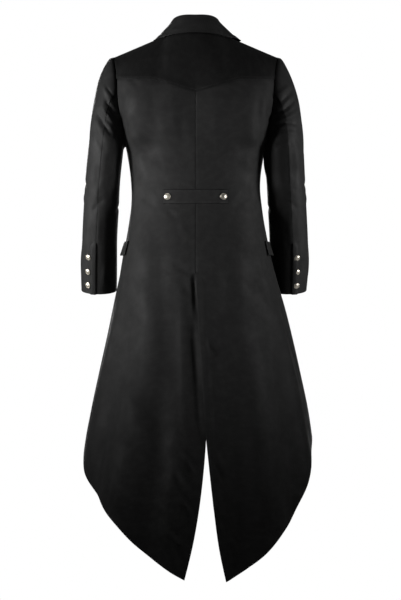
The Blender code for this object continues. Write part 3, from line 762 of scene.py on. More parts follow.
    def outward(self) -> dict[int, np.ndarray]:
        """Direction off the sheet at each point of its edge.

        Returns:
            Unit directions by vertex.
        """
        sheet = bmesh.new()
        sheet.from_mesh(self.piece.data)
        ways: dict[int, Vector] = {}
        for edge in sheet.edges:
            if edge.is_boundary:
                first, last = edge.verts
                along = (last.co - first.co).normalized()
                middle = (first.co + last.co) / 2
                inside = edge.link_faces[0].calc_center_median() - middle
                away = (inside - along * inside.dot(along)).normalized()
                for vertex in edge.verts:
                    ways[vertex.index] = ways.get(vertex.index, Vector()) - away
        sheet.free()
        return {index: np.array(way.normalized()) for index, way in ways.items()}

    def move(self, lift: np.ndarray) -> None:
        """Move every point of the sheet along its normal.

        Args:
            lift: Distance for each point.
        """
        mesh = self.piece.data
        place_points(mesh, points_of(mesh) + points_of(mesh, "normal") * lift[:, None])

    def crease(self, creases: dict[Facing, tuple[Crease, ...]]) -> None:
        """Press creases into the sheet.

        Args:
            creases: The creases on each side.
        """
        points = points_of(self.piece.data)
        normals = points_of(self.piece.data, "normal")
        lift = np.zeros(len(points))
        for facing, several in creases.items():
            axes, direction = facing.value
            shown = np.clip((normals @ np.array(direction)) * FACING_GAIN, 0.0, 1.0)
            for one in several:
                lift += one.lift(points[:, axes]) * shown
        self.move(lift)

    def relax(self, region: Relaxed) -> None:
        """Smooth a band of the sheet, away from its edges.

        Args:
            region: The band and how much it is smoothed.
        """
        distance = distances(points_of(self.piece.data), self.outline())
        pick(self.piece)
        bpy.ops.object.mode_set(mode="EDIT")
        bpy.ops.mesh.select_all(action="DESELECT")
        sheet = bmesh.from_edit_mesh(self.piece.data)
        for vertex in sheet.verts:
            inside = region.low < vertex.co.z < region.high
            vertex.select_set(inside and distance[vertex.index] > region.margin)
        bmesh.update_edit_mesh(self.piece.data)
        bpy.ops.mesh.vertices_smooth(factor=0.5, repeat=region.rounds)
        bpy.ops.object.mode_set(mode="OBJECT")

    def settle(self, size: float = 0.085) -> None:
        """Make the sheet a little uneven, as hung cloth is.

        Args:
            size: Distance over which the unevenness turns.
        """
        points = points_of(self.piece.data)
        lift = [noise.noise(Vector((x, y, z * UNEVEN_STRETCH)) / size) for x, y, z in points]
        self.move(np.array(lift) * self.unevenness)

    def sew(self, others: np.ndarray | None, dip: float = 0.0006, edge_roll: float = 0.0005,
            allowance: float = 0.0009, shaded_rim: bool = False, pressed: np.ndarray | None = None) -> None:
        """Draw the sheet in along its seams and round it off along its free edges, and paint shade into its
        rim.

        Args:
            others: Points along the edges that it is sewn to, before they were moved, or None.
            dip: Depth of a seam.
            edge_roll: How far a free edge turns in.
            allowance: How far a sewn edge goes on below the next piece.
            shaded_rim: Whether the free edges get the painted shade of the seams too.
            pressed: Points along seams that are pressed open, whose rim gets a fainter painted shade.
        """
        edge = self.outline()
        sewn = np.full(len(edge), False)
        gaps = np.zeros_like(edge)
        if others is not None:
            tree = tree_of(others)
            nearest = [tree.find(place) for place in edge]
            sewn = np.array([distance < SEAM_REACH for _, _, distance in nearest])
            gaps = (np.array([found for found, _, _ in nearest]) - edge) / 2
        own = tree_of(edge)
        self.paint_rim_shade(lambda place: shaded_rim or sewn[own.find(place)[1]], pressed)
        points = points_of(self.piece.data)
        lift = np.zeros(len(points))
        shift = np.zeros_like(points)
        ways = self.outward()
        for index, place in enumerate(points):
            _, at, distance = own.find(place)
            if sewn[at]:
                shift[index] = gaps[at] * math.exp(-(distance / GAP_FADE) ** 2)
                if index in ways:
                    shift[index] += ways[index] * allowance
                lift[index] = -dip * math.exp(-(distance / DIP_WIDTH) ** 2)
            else:
                lift[index] = -edge_roll * math.exp(-(distance / ROLL_WIDTH) ** 2)
                lift[index] -= PRESSED_DEPTH * math.exp(-((distance - PRESSED_AT) / PRESSED_WIDTH) ** 2)
        self.move(lift)
        place_points(self.piece.data, points_of(self.piece.data) + shift)

    def paint_rim_shade(self, in_painted_shade: Callable[[Vector], bool], pressed: np.ndarray | None) -> None:
        """Give the faces along the edge the darker cloth with painted seam shade.

        Args:
            in_painted_shade: Whether the face at a place of the edge gets painted shade.
            pressed: Points along the seams that are pressed open, or None.
        """
        rims = self.rim_faces()
        faint = np.full(len(rims), False)
        if pressed is not None:
            faint = distances(np.array([middle for _, middle in rims]), pressed) < SEAM_REACH
        for (face, middle), is_faint in zip(rims, faint):
            # Painted shade: a rim face takes near-black cloth where shade falls in a seam or under a raised
            # edge, fainter along pressed seams.
            if in_painted_shade(middle):
                self.piece.data.polygons[face].material_index = Rim.PRESSED if is_faint else Rim.SEAM

    def thicken(self) -> None:
        """Give the sheet its wall, with softened rims."""
        apply_modifier(self.piece, "SOLIDIFY", thickness=self.wall, offset=-1.0)
        pick(self.piece)
        bpy.ops.object.shade_smooth()
        bpy.ops.object.shade_smooth_by_angle(angle=SMOOTH_ANGLE)

    def finish(self, finishes: Finishes) -> None:
        """Args:
            finishes: Materials of the coat.
        """
        for material in (finishes.cloth, finishes.seam, finishes.pressed_seam_shade):
            self.piece.data.materials.append(material)
        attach(self.piece, ROOT)
        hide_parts(self.node)
        log.info("%s: %d faces", self.piece.name, len(self.piece.data.polygons))


@dataclass(frozen=True)
class Lap:
    """Edge that lies over the next piece.

    Its sizes are how far it reaches over, how high it stands and how wide the raised border is. It
    stands at its height before its border is half crossed, and the cloth below it is pressed in over a
    little more than its reach.
    """

    reach: float
    height: float
    border: float
    rise: float = 2.6
    pressed_share: float = 1.8

    def lay(self, shell: ClothShell, seam: np.ndarray, towards: tuple[float, float, float]) -> None:
        """Carry a piece's edge over the seam.

        Args:
            shell: The piece on top.
            seam: Points along the seam, which lie on the edge.
            towards: Direction in which the edge is carried.
        """
        mesh = shell.piece.data
        points, normals = points_of(mesh), points_of(mesh, "normal")
        share = np.clip(1 - distances(points, seam) / self.border, 0.0, 1.0)
        raised = ease(np.clip(share * self.rise, 0.0, 1.0))
        points += normals * raised[:, None] * self.height
        points += np.array(towards) * ease(share)[:, None] * self.reach
        place_points(mesh, points)

    def press_under(self, shell: ClothShell, seam: np.ndarray, depth: float = 0.0013) -> None:
        """Press the piece below down where the lap lies on it.

        Args:
            shell: The piece below.
            seam: Points along the seam.
            depth: How far it goes in.
        """
        distance = distances(points_of(shell.piece.data), seam)
        shell.move(-depth * np.exp(-(distance / (self.reach * self.pressed_share)) ** 4))


@dataclass(frozen=True)
class Roll:
    """Soft roll of cloth that rises steeply from a seam: its height and how far off its top lies."""

    height: float
    middle: float

    def lay(self, shell: ClothShell, seam: np.ndarray) -> None:
        """Raise the roll on a piece.

        Args:
            shell: The piece.
            seam: Points along the seam.
        """
        distance = distances(points_of(shell.piece.data), seam)
        share = distance / self.middle
        shell.move(self.height * share * np.exp(1 - share))


def between(share: float, run: np.ndarray, rows: np.ndarray) -> np.ndarray:
    """Row in between the rows of a table.

    Args:
        share: How far along it lies.
        run: How far along each row of the table lies.
        rows: Table with three columns.

    Returns:
        The three values there.
    """
    return np.array([np.interp(share, run, rows[:, axis]) for axis in range(3)])


@dataclass(frozen=True)
class StitchRow:
    """Row of hand stitches laid on a piece of cloth.

    A stitch bends, and its ends begin, at a share of its length off its middle. The ends dip by a share
    of its thickness, and they are thinner by another.
    """

    length: float = 0.0027
    pitch: float = 0.0041
    thickness: float = 0.00055
    sunk: float = 0.0001
    sides: int = 6
    bend_share: float = 0.28
    end_share: float = 0.4
    dip_share: float = 0.7
    thin_share: float = 0.5

    def stitch_model(self) -> bpy.types.Object:
        """One stitch: a short thread that dips at both ends.

        Returns:
            The stitch along X, with +Z away from the cloth.
        """
        bpy.ops.object.select_all(action="DESELECT")
        bpy.ops.mesh.primitive_cylinder_add(vertices=self.sides, radius=self.thickness / 2, depth=self.length,
                                            rotation=(0.0, math.pi / 2, 0.0))
        stitch = bpy.context.object
        bpy.ops.object.transform_apply(location=True, rotation=True, scale=True)
        bpy.ops.object.mode_set(mode="EDIT")
        for end in (1, -1):
            bpy.ops.mesh.select_all(action="SELECT")
            bpy.ops.mesh.bisect(plane_co=(end * self.length * self.bend_share, 0, 0), plane_no=(1, 0, 0))
        bpy.ops.object.mode_set(mode="OBJECT")
        for vertex in stitch.data.vertices:
            if abs(vertex.co.x) > self.length * self.end_share:
                vertex.co.z = vertex.co.z * self.thin_share - self.thickness * self.dip_share
                vertex.co.y *= self.thin_share
        return stitch

    def sew(self, name: str, path: np.ndarray, normals: np.ndarray) -> bpy.types.Object:
        """Lay stitches along a path.

        Args:
            name: Name of the finished row.
            path: Points on the cloth.
            normals: Direction away from the cloth at each point.

        Returns:
            The row as one object.
        """
        stitch = self.stitch_model()
        run = np.concatenate([[0.0], np.cumsum(np.linalg.norm(np.diff(path, axis=0), axis=1))])
        copies = []
        for middle in np.arange(self.pitch / 2, run[-1] - self.pitch / 2, self.pitch):
            place = between(middle, run, path)
            up = Vector(between(middle, run, normals)).normalized()
            along = Vector(between(middle + self.length / 2, run, path) - place).normalized()
            across = up.cross(along).normalized()
            turn = Matrix((along, across, along.cross(across))).transposed().to_4x4()
            copy = bpy.data.objects.new(name, stitch.data.copy())
            copy.data.transform(Matrix.Translation(Vector(place) - up * self.sunk) @ turn)
            bpy.context.scene.collection.objects.link(copy)
            copies.append(copy)
        bpy.data.objects.remove(stitch)
        bpy.ops.object.select_all(action="DESELECT")
        for copy in copies:
            copy.select_set(True)
        bpy.context.view_layer.objects.active = copies[0]
        bpy.ops.object.join()
        row = bpy.context.object
        row.name = name
        bpy.ops.object.shade_smooth()
        return row


def project(shell: ClothShell, path: list[tuple[float, float]], facing: Facing,
            spacing: float = 0.003, outside: float = 2.0) -> tuple[np.ndarray, np.ndarray]:
    """Lay a path that is given as seen from one side onto a piece.

    Args:
        shell: The piece.
        path: Corners of the path with two coordinates.
        facing: Side that it is seen from.
        spacing: Distance between the points.
        outside: Distance from which it is seen.

    Returns:
        Points on the piece and the directions away from it.
    """
    axes, direction = facing.value
    away = Vector(direction)
    tree = BVHTree.FromPolygons([v.co.copy() for v in shell.piece.data.vertices],
                                [tuple(p.vertices) for p in shell.piece.data.polygons])
    points, normals = [], []
    for first, last in zip(path, path[1:]):
        steps = max(1, round(math.dist(first, last) / spacing))
        for index in range(steps):
            share = index / steps
            start = away * outside
            for axis, low, high in zip(axes, first, last):
                start[axis] = low + (high - low) * share
            found, normal, _, _ = tree.ray_cast(start, -away)
            if found is not None:
                points.append(found)
                normals.append(normal)
    return np.array(points), np.array(normals)


FRONT_FOLDS = (
    Crease((0.150, -0.160), (0.120, -0.350), 0.0030, 0.020, 0.006),
    Crease((0.175, -0.180), (0.150, -0.330), -0.0026, 0.012, 0.004),
    Crease((0.165, -0.395), (0.105, -0.430), 0.0018, 0.009, 0.003),
    Crease((0.170, -0.415), (0.110, -0.450), -0.0020, 0.008, 0.003),
    Crease((0.150, -0.520), (0.165, -0.760), 0.0032, 0.022, -0.006),
    Crease((0.110, -0.520), (0.130, -0.720), -0.0028, 0.018, -0.004),
)


def left_folds() -> dict[Facing, tuple[Crease, ...]]:
    """Folds of the coat's left half, which run on from its back to its front.

    Returns:
        The folds on each side.
    """
    upper = (
        Crease((0.166, -0.150), (0.138, -0.400), 0.0030, 0.024, 0.006),
        Crease((0.190, -0.190), (0.176, -0.330), -0.0022, 0.010, 0.004),
        Crease((0.112, -0.130), (0.116, -0.330), -0.0024, 0.026, -0.004),
        Crease((0.064, -0.150), (0.050, -0.260), 0.0012, 0.014, 0.002),
        Crease((0.030, -0.150), (0.036, -0.330), -0.0010, 0.014, 0.003),
        Crease((0.150, -0.380), (0.095, -0.432), 0.0012, 0.009, 0.003),
        Crease((0.160, -0.412), (0.104, -0.452), -0.0014, 0.008, 0.003),
        Crease((0.182, -0.100), (0.150, -0.135), -0.0010, 0.010),
    )
    lower = (
        Crease((0.140, -0.480), (0.150, -0.800), 0.0040, 0.030, -0.010),
        Crease((0.086, -0.520), (0.078, -0.860), -0.0036, 0.030, 0.006),
        Crease((0.040, -0.482), (0.020, -0.545), 0.0014, 0.012, 0.002),
        Crease((0.075, -0.466), (0.052, -0.478), -0.0022, 0.008),
        Crease((0.060, -0.600), (0.010, -0.630), -0.0016, 0.012, 0.003),
        Crease((0.040, -0.640), (0.006, -0.700), -0.0020, 0.012, 0.003),
        Crease((0.004, -0.630), (-0.002, -0.735), -0.0050, 0.008, 0.001),
        Crease((0.006, -0.750), (-0.008, -0.960), -0.0058, 0.015, 0.002),
        Crease((-0.004, -0.930), (-0.014, -1.060), -0.0030, 0.012, 0.002),
        Crease((0.036, -0.640), (0.026, -1.060), 0.0026, 0.016, 0.003),
        Crease((0.190, -0.560), (0.196, -0.880), -0.0034, 0.022, 0.006),
        Crease((0.200, -0.900), (0.120, -1.060), 0.0040, 0.034, 0.010),
        Crease((0.105, -0.940), (0.090, -1.230), -0.0022, 0.030, -0.006),
        Crease((0.036, -1.096), (-0.010, -1.150), 0.0046, 0.009, 0.003),
        Crease((0.026, -1.114), (-0.006, -1.168), -0.0050, 0.008, 0.003),
        Crease((0.044, -1.146), (0.000, -1.200), 0.0040, 0.008, 0.002),
        Crease((0.056, -1.150), (0.030, -1.200), -0.0030, 0.009, 0.002),
        Crease((0.042, -1.206), (0.002, -1.254), 0.0044, 0.008, 0.002),
        Crease((0.034, -1.226), (0.004, -1.276), -0.0046, 0.007, 0.002),
        Crease((0.076, -1.290), (0.022, -1.336), 0.0044, 0.009, 0.003),
        Crease((0.068, -1.314), (0.024, -1.358), -0.0046, 0.008, 0.003),
        Crease((0.050, -1.344), (0.034, -1.396), 0.0036, 0.008, 0.002),
    )
    side = (
        Crease((0.000, -0.450), (0.020, -0.560), -0.0022, 0.010, 0.003),
        Crease((0.060, -0.650), (0.050, -1.000), 0.0036, 0.024, 0.006),
        Crease((0.020, -0.700), (-0.005, -1.060), -0.0034, 0.020, 0.006),
        Crease((-0.040, -0.600), (-0.050, -0.980), 0.0036, 0.022, 0.006),
        Crease((-0.080, -0.620), (-0.095, -0.900), -0.0034, 0.018, 0.004),
    )
    return {Facing.BACK: upper + lower, Facing.LEFT: side, Facing.FRONT: FRONT_FOLDS}


def right_folds() -> dict[Facing, tuple[Crease, ...]]:
    """Folds of the coat's right half, which run on from its back to its front.

    Returns:
        The folds on each side.
    """
    upper = (
        Crease((-0.150, -0.205), (-0.140, -0.410), 0.0028, 0.020, -0.005),
        Crease((-0.182, -0.150), (-0.186, -0.245), 0.0024, 0.009, 0.002),
        Crease((-0.166, -0.160), (-0.172, -0.300), -0.0022, 0.010, 0.004),
        Crease((-0.108, -0.150), (-0.112, -0.330), -0.0018, 0.024, 0.005),
        Crease((-0.052, -0.150), (-0.046, -0.280), 0.0011, 0.016, -0.003),
        Crease((-0.145, -0.385), (-0.092, -0.436), 0.0012, 0.009, -0.003),
        Crease((-0.158, -0.410), (-0.100, -0.455), -0.0014, 0.008, -0.003),
    )
    lower = (
        Crease((-0.120, -0.500), (-0.140, -0.800), 0.0032, 0.028, 0.008),
        Crease((-0.074, -0.520), (-0.084, -0.900), -0.0028, 0.024, -0.006),
        Crease((-0.044, -0.480), (-0.026, -0.540), -0.0011, 0.012),
        Crease((-0.024, -0.806), (-0.060, -0.842), -0.0054, 0.011, 0.002),
        Crease((-0.030, -0.842), (-0.066, -0.876), 0.0034, 0.010, 0.002),
        Crease((-0.024, -0.700), (-0.036, -1.060), 0.0022, 0.016, 0.004),
        Crease((-0.196, -0.560), (-0.210, -0.760), -0.0030, 0.016, -0.004),
        Crease((-0.190, -0.780), (-0.226, -1.060), 0.0050, 0.018, 0.006),
        Crease((-0.216, -0.760), (-0.238, -0.940), -0.0026, 0.014, 0.004),
        Crease((-0.128, -0.880), (-0.130, -1.200), -0.0026, 0.030, 0.006),
        Crease((-0.034, -1.090), (-0.074, -1.140), 0.0046, 0.009, -0.002),
        Crease((-0.040, -1.116), (-0.072, -1.166), -0.0048, 0.008, -0.002),
        Crease((-0.044, -1.160), (-0.078, -1.204), 0.0036, 0.008, -0.002),
        Crease((-0.046, -1.216), (-0.076, -1.262), 0.0042, 0.008, -0.002),
        Crease((-0.050, -1.240), (-0.078, -1.286), -0.0044, 0.007, -0.002),
        Crease((-0.080, -1.300), (-0.112, -1.352), 0.0044, 0.008, -0.002),
        Crease((-0.084, -1.326), (-0.112, -1.376), -0.0044, 0.007, -0.002),
    )
    side = (
        Crease((0.050, -0.702), (0.030, -0.885), -0.0044, 0.014, 0.004),
        Crease((0.080, -0.740), (0.066, -0.940), 0.0034, 0.014, 0.004),
        Crease((0.010, -0.680), (0.000, -1.060), 0.0034, 0.022, -0.006),
        Crease((-0.045, -0.640), (-0.060, -1.000), 0.0034, 0.022, -0.006),
        Crease((-0.090, -0.600), (-0.100, -0.860), -0.0030, 0.018, -0.004),
    )
    front = tuple(fold.mirrored((-0.006, -0.012), (0.004, -0.004), depth=0.85, width=1.1)
                  for fold in FRONT_FOLDS)
    return {Facing.BACK: upper + lower, Facing.RIGHT: side, Facing.FRONT: front}


class Assembly:
    """Part of the coat that is made up of several cloth shells."""

    def shells(self) -> tuple[ClothShell, ...]:
        """Its cloth shells."""
        return ()

    def cut_out(self) -> None:
        """Cut the shells out and smooth them."""
        for shell in self.shells():
            shell.cut_out()
            shell.keep_corners()
            shell.smooth()
            shell.add_border_rows()
            shell.map_cloth()
            shell.edge = shell.outline()

    def press(self) -> None:
        """Press in the creases of this part."""

    def seam_up(self, edges: dict[str, np.ndarray]) -> None:
        """Draw the shells in along their seams.

        Args:
            edges: Points along the edges of all the pieces, by node.
        """
        for shell in self.shells():
            shell.sew(np.concatenate([edge for node, edge in edges.items() if node != shell.node]))

    def overlap(self, edges: dict[str, np.ndarray]) -> None:
        """Lay one edge over another where the coat has a lapped seam.

        Args:
            edges: Points along the edges of all the pieces, by node.
        """

    def dress(self, finishes: Finishes) -> None:
        """Args:
            finishes: Materials of the coat.
        """
        for shell in self.shells():
            shell.thicken()
            shell.finish(finishes)


@dataclass
class Back(Assembly):
    """Both back panels with their tails, the yoke across the shoulders and the half belt."""

    left: ClothShell
    right: ClothShell
    yoke: ClothShell
    belt: ClothShell
    yoke_lap: Lap = Lap(reach=0.0035, height=0.0017, border=0.011)
    # Darker copy of the cloth for the yoke: painted shade, where the upturned yoke falls dark.
    yoke_shaded_cloth: CoatCloth = CoatCloth("Coat cloth in painted shade on the yoke", colour=(0.0040, 0.0040, 0.0040, 1.0),
                                      worn_colour=(0.0068, 0.0068, 0.0066, 1.0), specular=0.09, sheen=0.015)
    vent_lap: Lap = Lap(reach=0.0, height=0.0018, border=0.026)
    vent_top: float = -0.660
    vent_side: float = -0.12
    seam_end: float = -0.632
    blades: Relaxed = Relaxed(-0.40, -0.12, 120)
    shoulders: Relaxed = Relaxed(-0.20, 0.02, 120)
    stitch_margin: float = 0.0060
    stitch_step: int = 6
    belt_margin: float = 0.0042
    yoke_seam: np.ndarray = field(init=False, compare=False, repr=False)

    def shells(self) -> tuple[ClothShell, ...]:
        """The panels, the yoke and the belt."""
        return (self.left, self.right, self.yoke, self.belt)

    def press(self) -> None:
        """Blade and waist folds above the belt, long folds and puckers below it."""
        for shell in (self.left, self.right):
            shell.relax(self.blades)
        self.yoke.relax(self.shoulders)
        self.left.crease(left_folds())
        self.right.crease(right_folds())
        self.yoke.crease({Facing.BACK: (
            Crease((0.150, -0.060), (0.060, -0.045), 0.0020, 0.014, 0.004),
            Crease((-0.140, -0.062), (-0.060, -0.046), 0.0016, 0.012, -0.004),
            Crease((0.040, -0.075), (-0.030, -0.082), -0.0012, 0.012),
        )})
        for shell in (self.left, self.right):
            shell.settle()

    def overlap(self, edges: dict[str, np.ndarray]) -> None:
        """Lay the yoke over the two panels, and the right tail over the left one at the vent.

        Args:
            edges: Points along the edges of all the pieces, by node.
        """
        panels = np.concatenate([edges[self.left.node], edges[self.right.node]])
        self.yoke_seam = shared_edge(edges[self.yoke.node], panels)
        self.yoke_lap.press_under(self.left, self.yoke_seam)
        self.yoke_lap.press_under(self.right, self.yoke_seam)
        self.yoke_lap.lay(self.yoke, self.yoke_seam, (0.0, 0.0, -1.0))
        edge = edges[self.right.node]
        vent = edge[(edge[:, 2] < self.vent_top) & (edge[:, 0] > self.vent_side) & (edge[:, 1] > 0)]
        self.vent_lap.lay(self.right, vent, (0.0, 0.0, 0.0))

    def seam_up(self, edges: dict[str, np.ndarray]) -> None:
        """Draw the shells in along their seams, but for the lapped one and the open vent.

        Args:
            edges: Points along the edges of all the pieces, by node.
        """
        own = [shell.node for shell in self.shells()]
        sewn = [edge for node, edge in edges.items() if node not in own]
        sides = [edge for node, edge in edges.items() if node.startswith("front")]
        for shell, other in ((self.left, self.right), (self.right, self.left)):
            seam = edges[other.node]
            centre = seam[seam[:, 2] > self.seam_end]
            # The centre back and the side seams get the fainter painted shade of pressed seams.
            shell.sew(np.concatenate(sewn + [centre]), pressed=np.concatenate([centre] + sides))
        self.yoke.sew(np.concatenate(sewn))
        # The belt's whole rim gets painted shade, for the shadow along its edges.
        self.belt.sew(None, shaded_rim=True)

    def dress(self, finishes: Finishes) -> None:
        """Stitch the yoke and the belt down, and dress the shells, with painted shade on the yoke.

        Args:
            finishes: Materials of the coat.
        """
        row = StitchRow()
        seam = self.yoke_seam[np.argsort(self.yoke_seam[:, 0])]
        rise = self.stitch_margin - self.yoke_lap.reach
        path = [(x, z + rise) for x, _, z in seam[self.stitch_step:-self.stitch_step:self.stitch_step]]
        rows = [row.sew("yoke_stitches", *project(self.yoke, path, Facing.BACK))]
        low, high = (np.array(corner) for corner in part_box(self.belt.node))
        left, bottom = low[0] + self.belt_margin, low[2] + self.belt_margin
        right, top = high[0] - self.belt_margin, high[2] - self.belt_margin
        corners = [(left, top), (right, top), (right, bottom), (left, bottom), (left, top)]
        rows.append(row.sew("belt_stitches", *project(self.belt, corners, Facing.BACK)))
        for stitches in rows:
            stitches.data.materials.clear()
            stitches.data.materials.append(finishes.thread)
            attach(stitches, ROOT)
        super().dress(finishes)
        # The yoke takes the darker copy of the cloth, painted shade.
        self.yoke.piece.data.materials[Rim.CLOTH] = self.yoke_shaded_cloth.build()


@dataclass
class Fronts(Assembly):
    """Both fronts with their lapels and the flaps at the hips."""

    left: ClothShell
    right: ClothShell
    lapels: tuple[ClothShell, ClothShell]
    flaps: tuple[ClothShell, ClothShell]
    flap_tuck: float = 0.0030
    flap_draw: float = 0.0150
    flap_end: float = 0.045

    def shells(self) -> tuple[ClothShell, ...]:
        """The fronts, the lapels and the flaps."""
        return (self.left, self.right) + self.lapels + self.flaps

    def press(self) -> None:
        """Drag folds at the chest and the waist, and long folds in the skirt."""
        self.left.crease(left_folds())
        self.right.crease(right_folds())
        for shell in (self.left, self.right):
            shell.settle()
        for shell in self.flaps:
            self.tuck_in(shell)

    def tuck_in(self, flap: ClothShell) -> None:
        """Shorten the rear end of a flap along the coat and let it hang closer to it.

        Args:
            flap: The flap.
        """
        points, normals = points_of(flap.piece.data), points_of(flap.piece.data, "normal")
        rear = np.clip(1 - (points[:, 1].max() - points[:, 1]) / self.flap_end, 0.0, 1.0)[:, None] ** 2
        low = ((points[:, 2].max() - points[:, 2]) / np.ptp(points[:, 2]))[:, None]
        ahead = np.array([0.0, -1.0, 0.0]) + normals * normals[:, 1:2]
        points += rear * (ahead * self.flap_draw - normals * low * self.flap_tuck)
        place_points(flap.piece.data, points)

    def seam_up(self, edges: dict[str, np.ndarray]) -> None:
        """Draw the fronts in along their seams and round the edges of what lies on them.

        Args:
            edges: Points along the edges of all the pieces, by node.
        """
        upper = [shell.node for shell in self.lapels + self.flaps]
        for shell in self.shells():
            skipped = upper if shell in (self.left, self.right) else [self.left.node, self.right.node]
            others = [edge for node, edge in edges.items() if node not in [*skipped, shell.node]]
            # The flaps' whole rims get painted shade, for the shadow under their edges.
            shell.sew(np.concatenate(others), shaded_rim=shell in self.flaps)


@dataclass
class Collar(Assembly):
    """Turned-down collar."""

    fall: ClothShell
    edge_lap: Lap = Lap(reach=0.0, height=0.0022, border=0.014)
    draw_in: dict[Side, float] = field(default_factory=lambda: {Side.LEFT: 0.0100, Side.RIGHT: 0.0010})
    draw_from: float = 0.070
    draw_to: float = 0.118

    def shells(self) -> tuple[ClothShell, ...]:
        """The collar alone."""
        return (self.fall,)

    def press(self) -> None:
        """Soft unevenness along the fall."""
        self.fall.crease({Facing.BACK: (
            Crease((0.085, 0.014), (0.040, 0.020), 0.0008, 0.006),
            Crease((-0.090, 0.010), (-0.050, 0.018), 0.0008, 0.006),
        )})
        edge = self.fall.edge
        turned = np.hypot(edge[:, 0], edge[:, 1])
        behind = edge[(edge[:, 1] > 0) & (turned > np.median(turned))]
        self.edge_lap.lay(self.fall, behind, (0.0, 0.0, 0.0))
        self.draw_ends_in()

    def draw_ends_in(self) -> None:
        """Draw the two ends of the fall in to the shoulders, as far as each side shows."""
        points = points_of(self.fall.piece.data)
        for side, reach in self.draw_in.items():
            share = (points[:, 0] * side - self.draw_from) / (self.draw_to - self.draw_from)
            points[:, 0] -= side * reach * ease(np.clip(share, 0.0, 1.0))
        place_points(self.fall.piece.data, points)

    def seam_up(self, edges: dict[str, np.ndarray]) -> None:
        """Round off the collar's edge, with painted shade along its rim for the shadow under it.

        Args:
            edges: Points along the edges of all the pieces, by node.
        """
        others = np.concatenate([edge for node, edge in edges.items() if node != self.fall.node])
        self.fall.sew(others, shaded_rim=True)


@dataclass
class Sleeve(Assembly):
    """Two-piece sleeve with a buttoned slit at the cuff."""

    side: Side
    top: ClothShell
    under: ClothShell
    creases: dict[Facing, tuple[Crease, ...]]
    slit_top: float = -0.560
    head: Roll = Roll(0.0046, 0.008)
    slit_lap: Lap = Lap(reach=0.0006, height=0.0030, border=0.014)
    slit_press: float = 0.0016
    unevenness_size: float = 0.06
    # Brighter copies of the cloth with a stronger reflection: a painted highlight on both sleeves. The right
    # undersleeve is given a darker copy instead.
    top_cloth: CoatCloth = CoatCloth("Coat cloth with painted highlight on the topsleeve", specular=0.185)
    under_cloth: CoatCloth = CoatCloth("Coat cloth with painted highlight on the undersleeve", specular=0.185)

    def shells(self) -> tuple[ClothShell, ...]:
        """The topsleeve and the undersleeve."""
        return (self.top, self.under)

    def press(self) -> None:
        """Drag folds below the armhole, at the elbow and above the cuff."""
        for shell in self.shells():
            shell.crease(self.creases)
            shell.settle(self.unevenness_size)

    def seam_up(self, edges: dict[str, np.ndarray]) -> None:
        """Draw both pieces in along their seams, with a fainter painted shade along the long ones, which are
        pressed open.

        Args:
            edges: Points along the edges of all the pieces, by node.
        """
        for shell, other in ((self.top, self.under), (self.under, self.top)):
            shell.sew(np.concatenate([edge for node, edge in edges.items() if node != shell.node]),
                      pressed=edges[other.node])

    def overlap(self, edges: dict[str, np.ndarray]) -> None:
        """Roll the sleeve head and lay the topsleeve over the undersleeve along the slit.

        Args:
            edges: Points along the edges of all the pieces, by node.
        """
        body = np.concatenate([edge for node, edge in edges.items() if node.startswith(("back", "front"))])
        self.head.lay(self.top, shared_edge(edges[self.top.node], body))
        seam = shared_edge(edges[self.top.node], edges[self.under.node])
        rows = np.array(self.top.spine.rows)[::-1]
        behind = seam[:, 1] > np.interp(seam[:, 2], rows[:, 0], rows[:, 2])
        slit = seam[behind & (seam[:, 2] < self.slit_top)]
        self.slit_lap.press_under(self.under, slit, self.slit_press)
        self.slit_lap.lay(self.top, slit, (-float(self.side), 0.0, 0.0))

    def dress(self, finishes: Finishes) -> None:
        """Dress both pieces with brighter copies of the cloth, a painted highlight, unless a darker copy with
        painted shade is given for the undersleeve.

        Args:
            finishes: Materials of the coat.
        """
        super().dress(finishes)
        self.top.piece.data.materials[Rim.CLOTH] = self.top_cloth.build()
        self.under.piece.data.materials[Rim.CLOTH] = self.under_cloth.build()


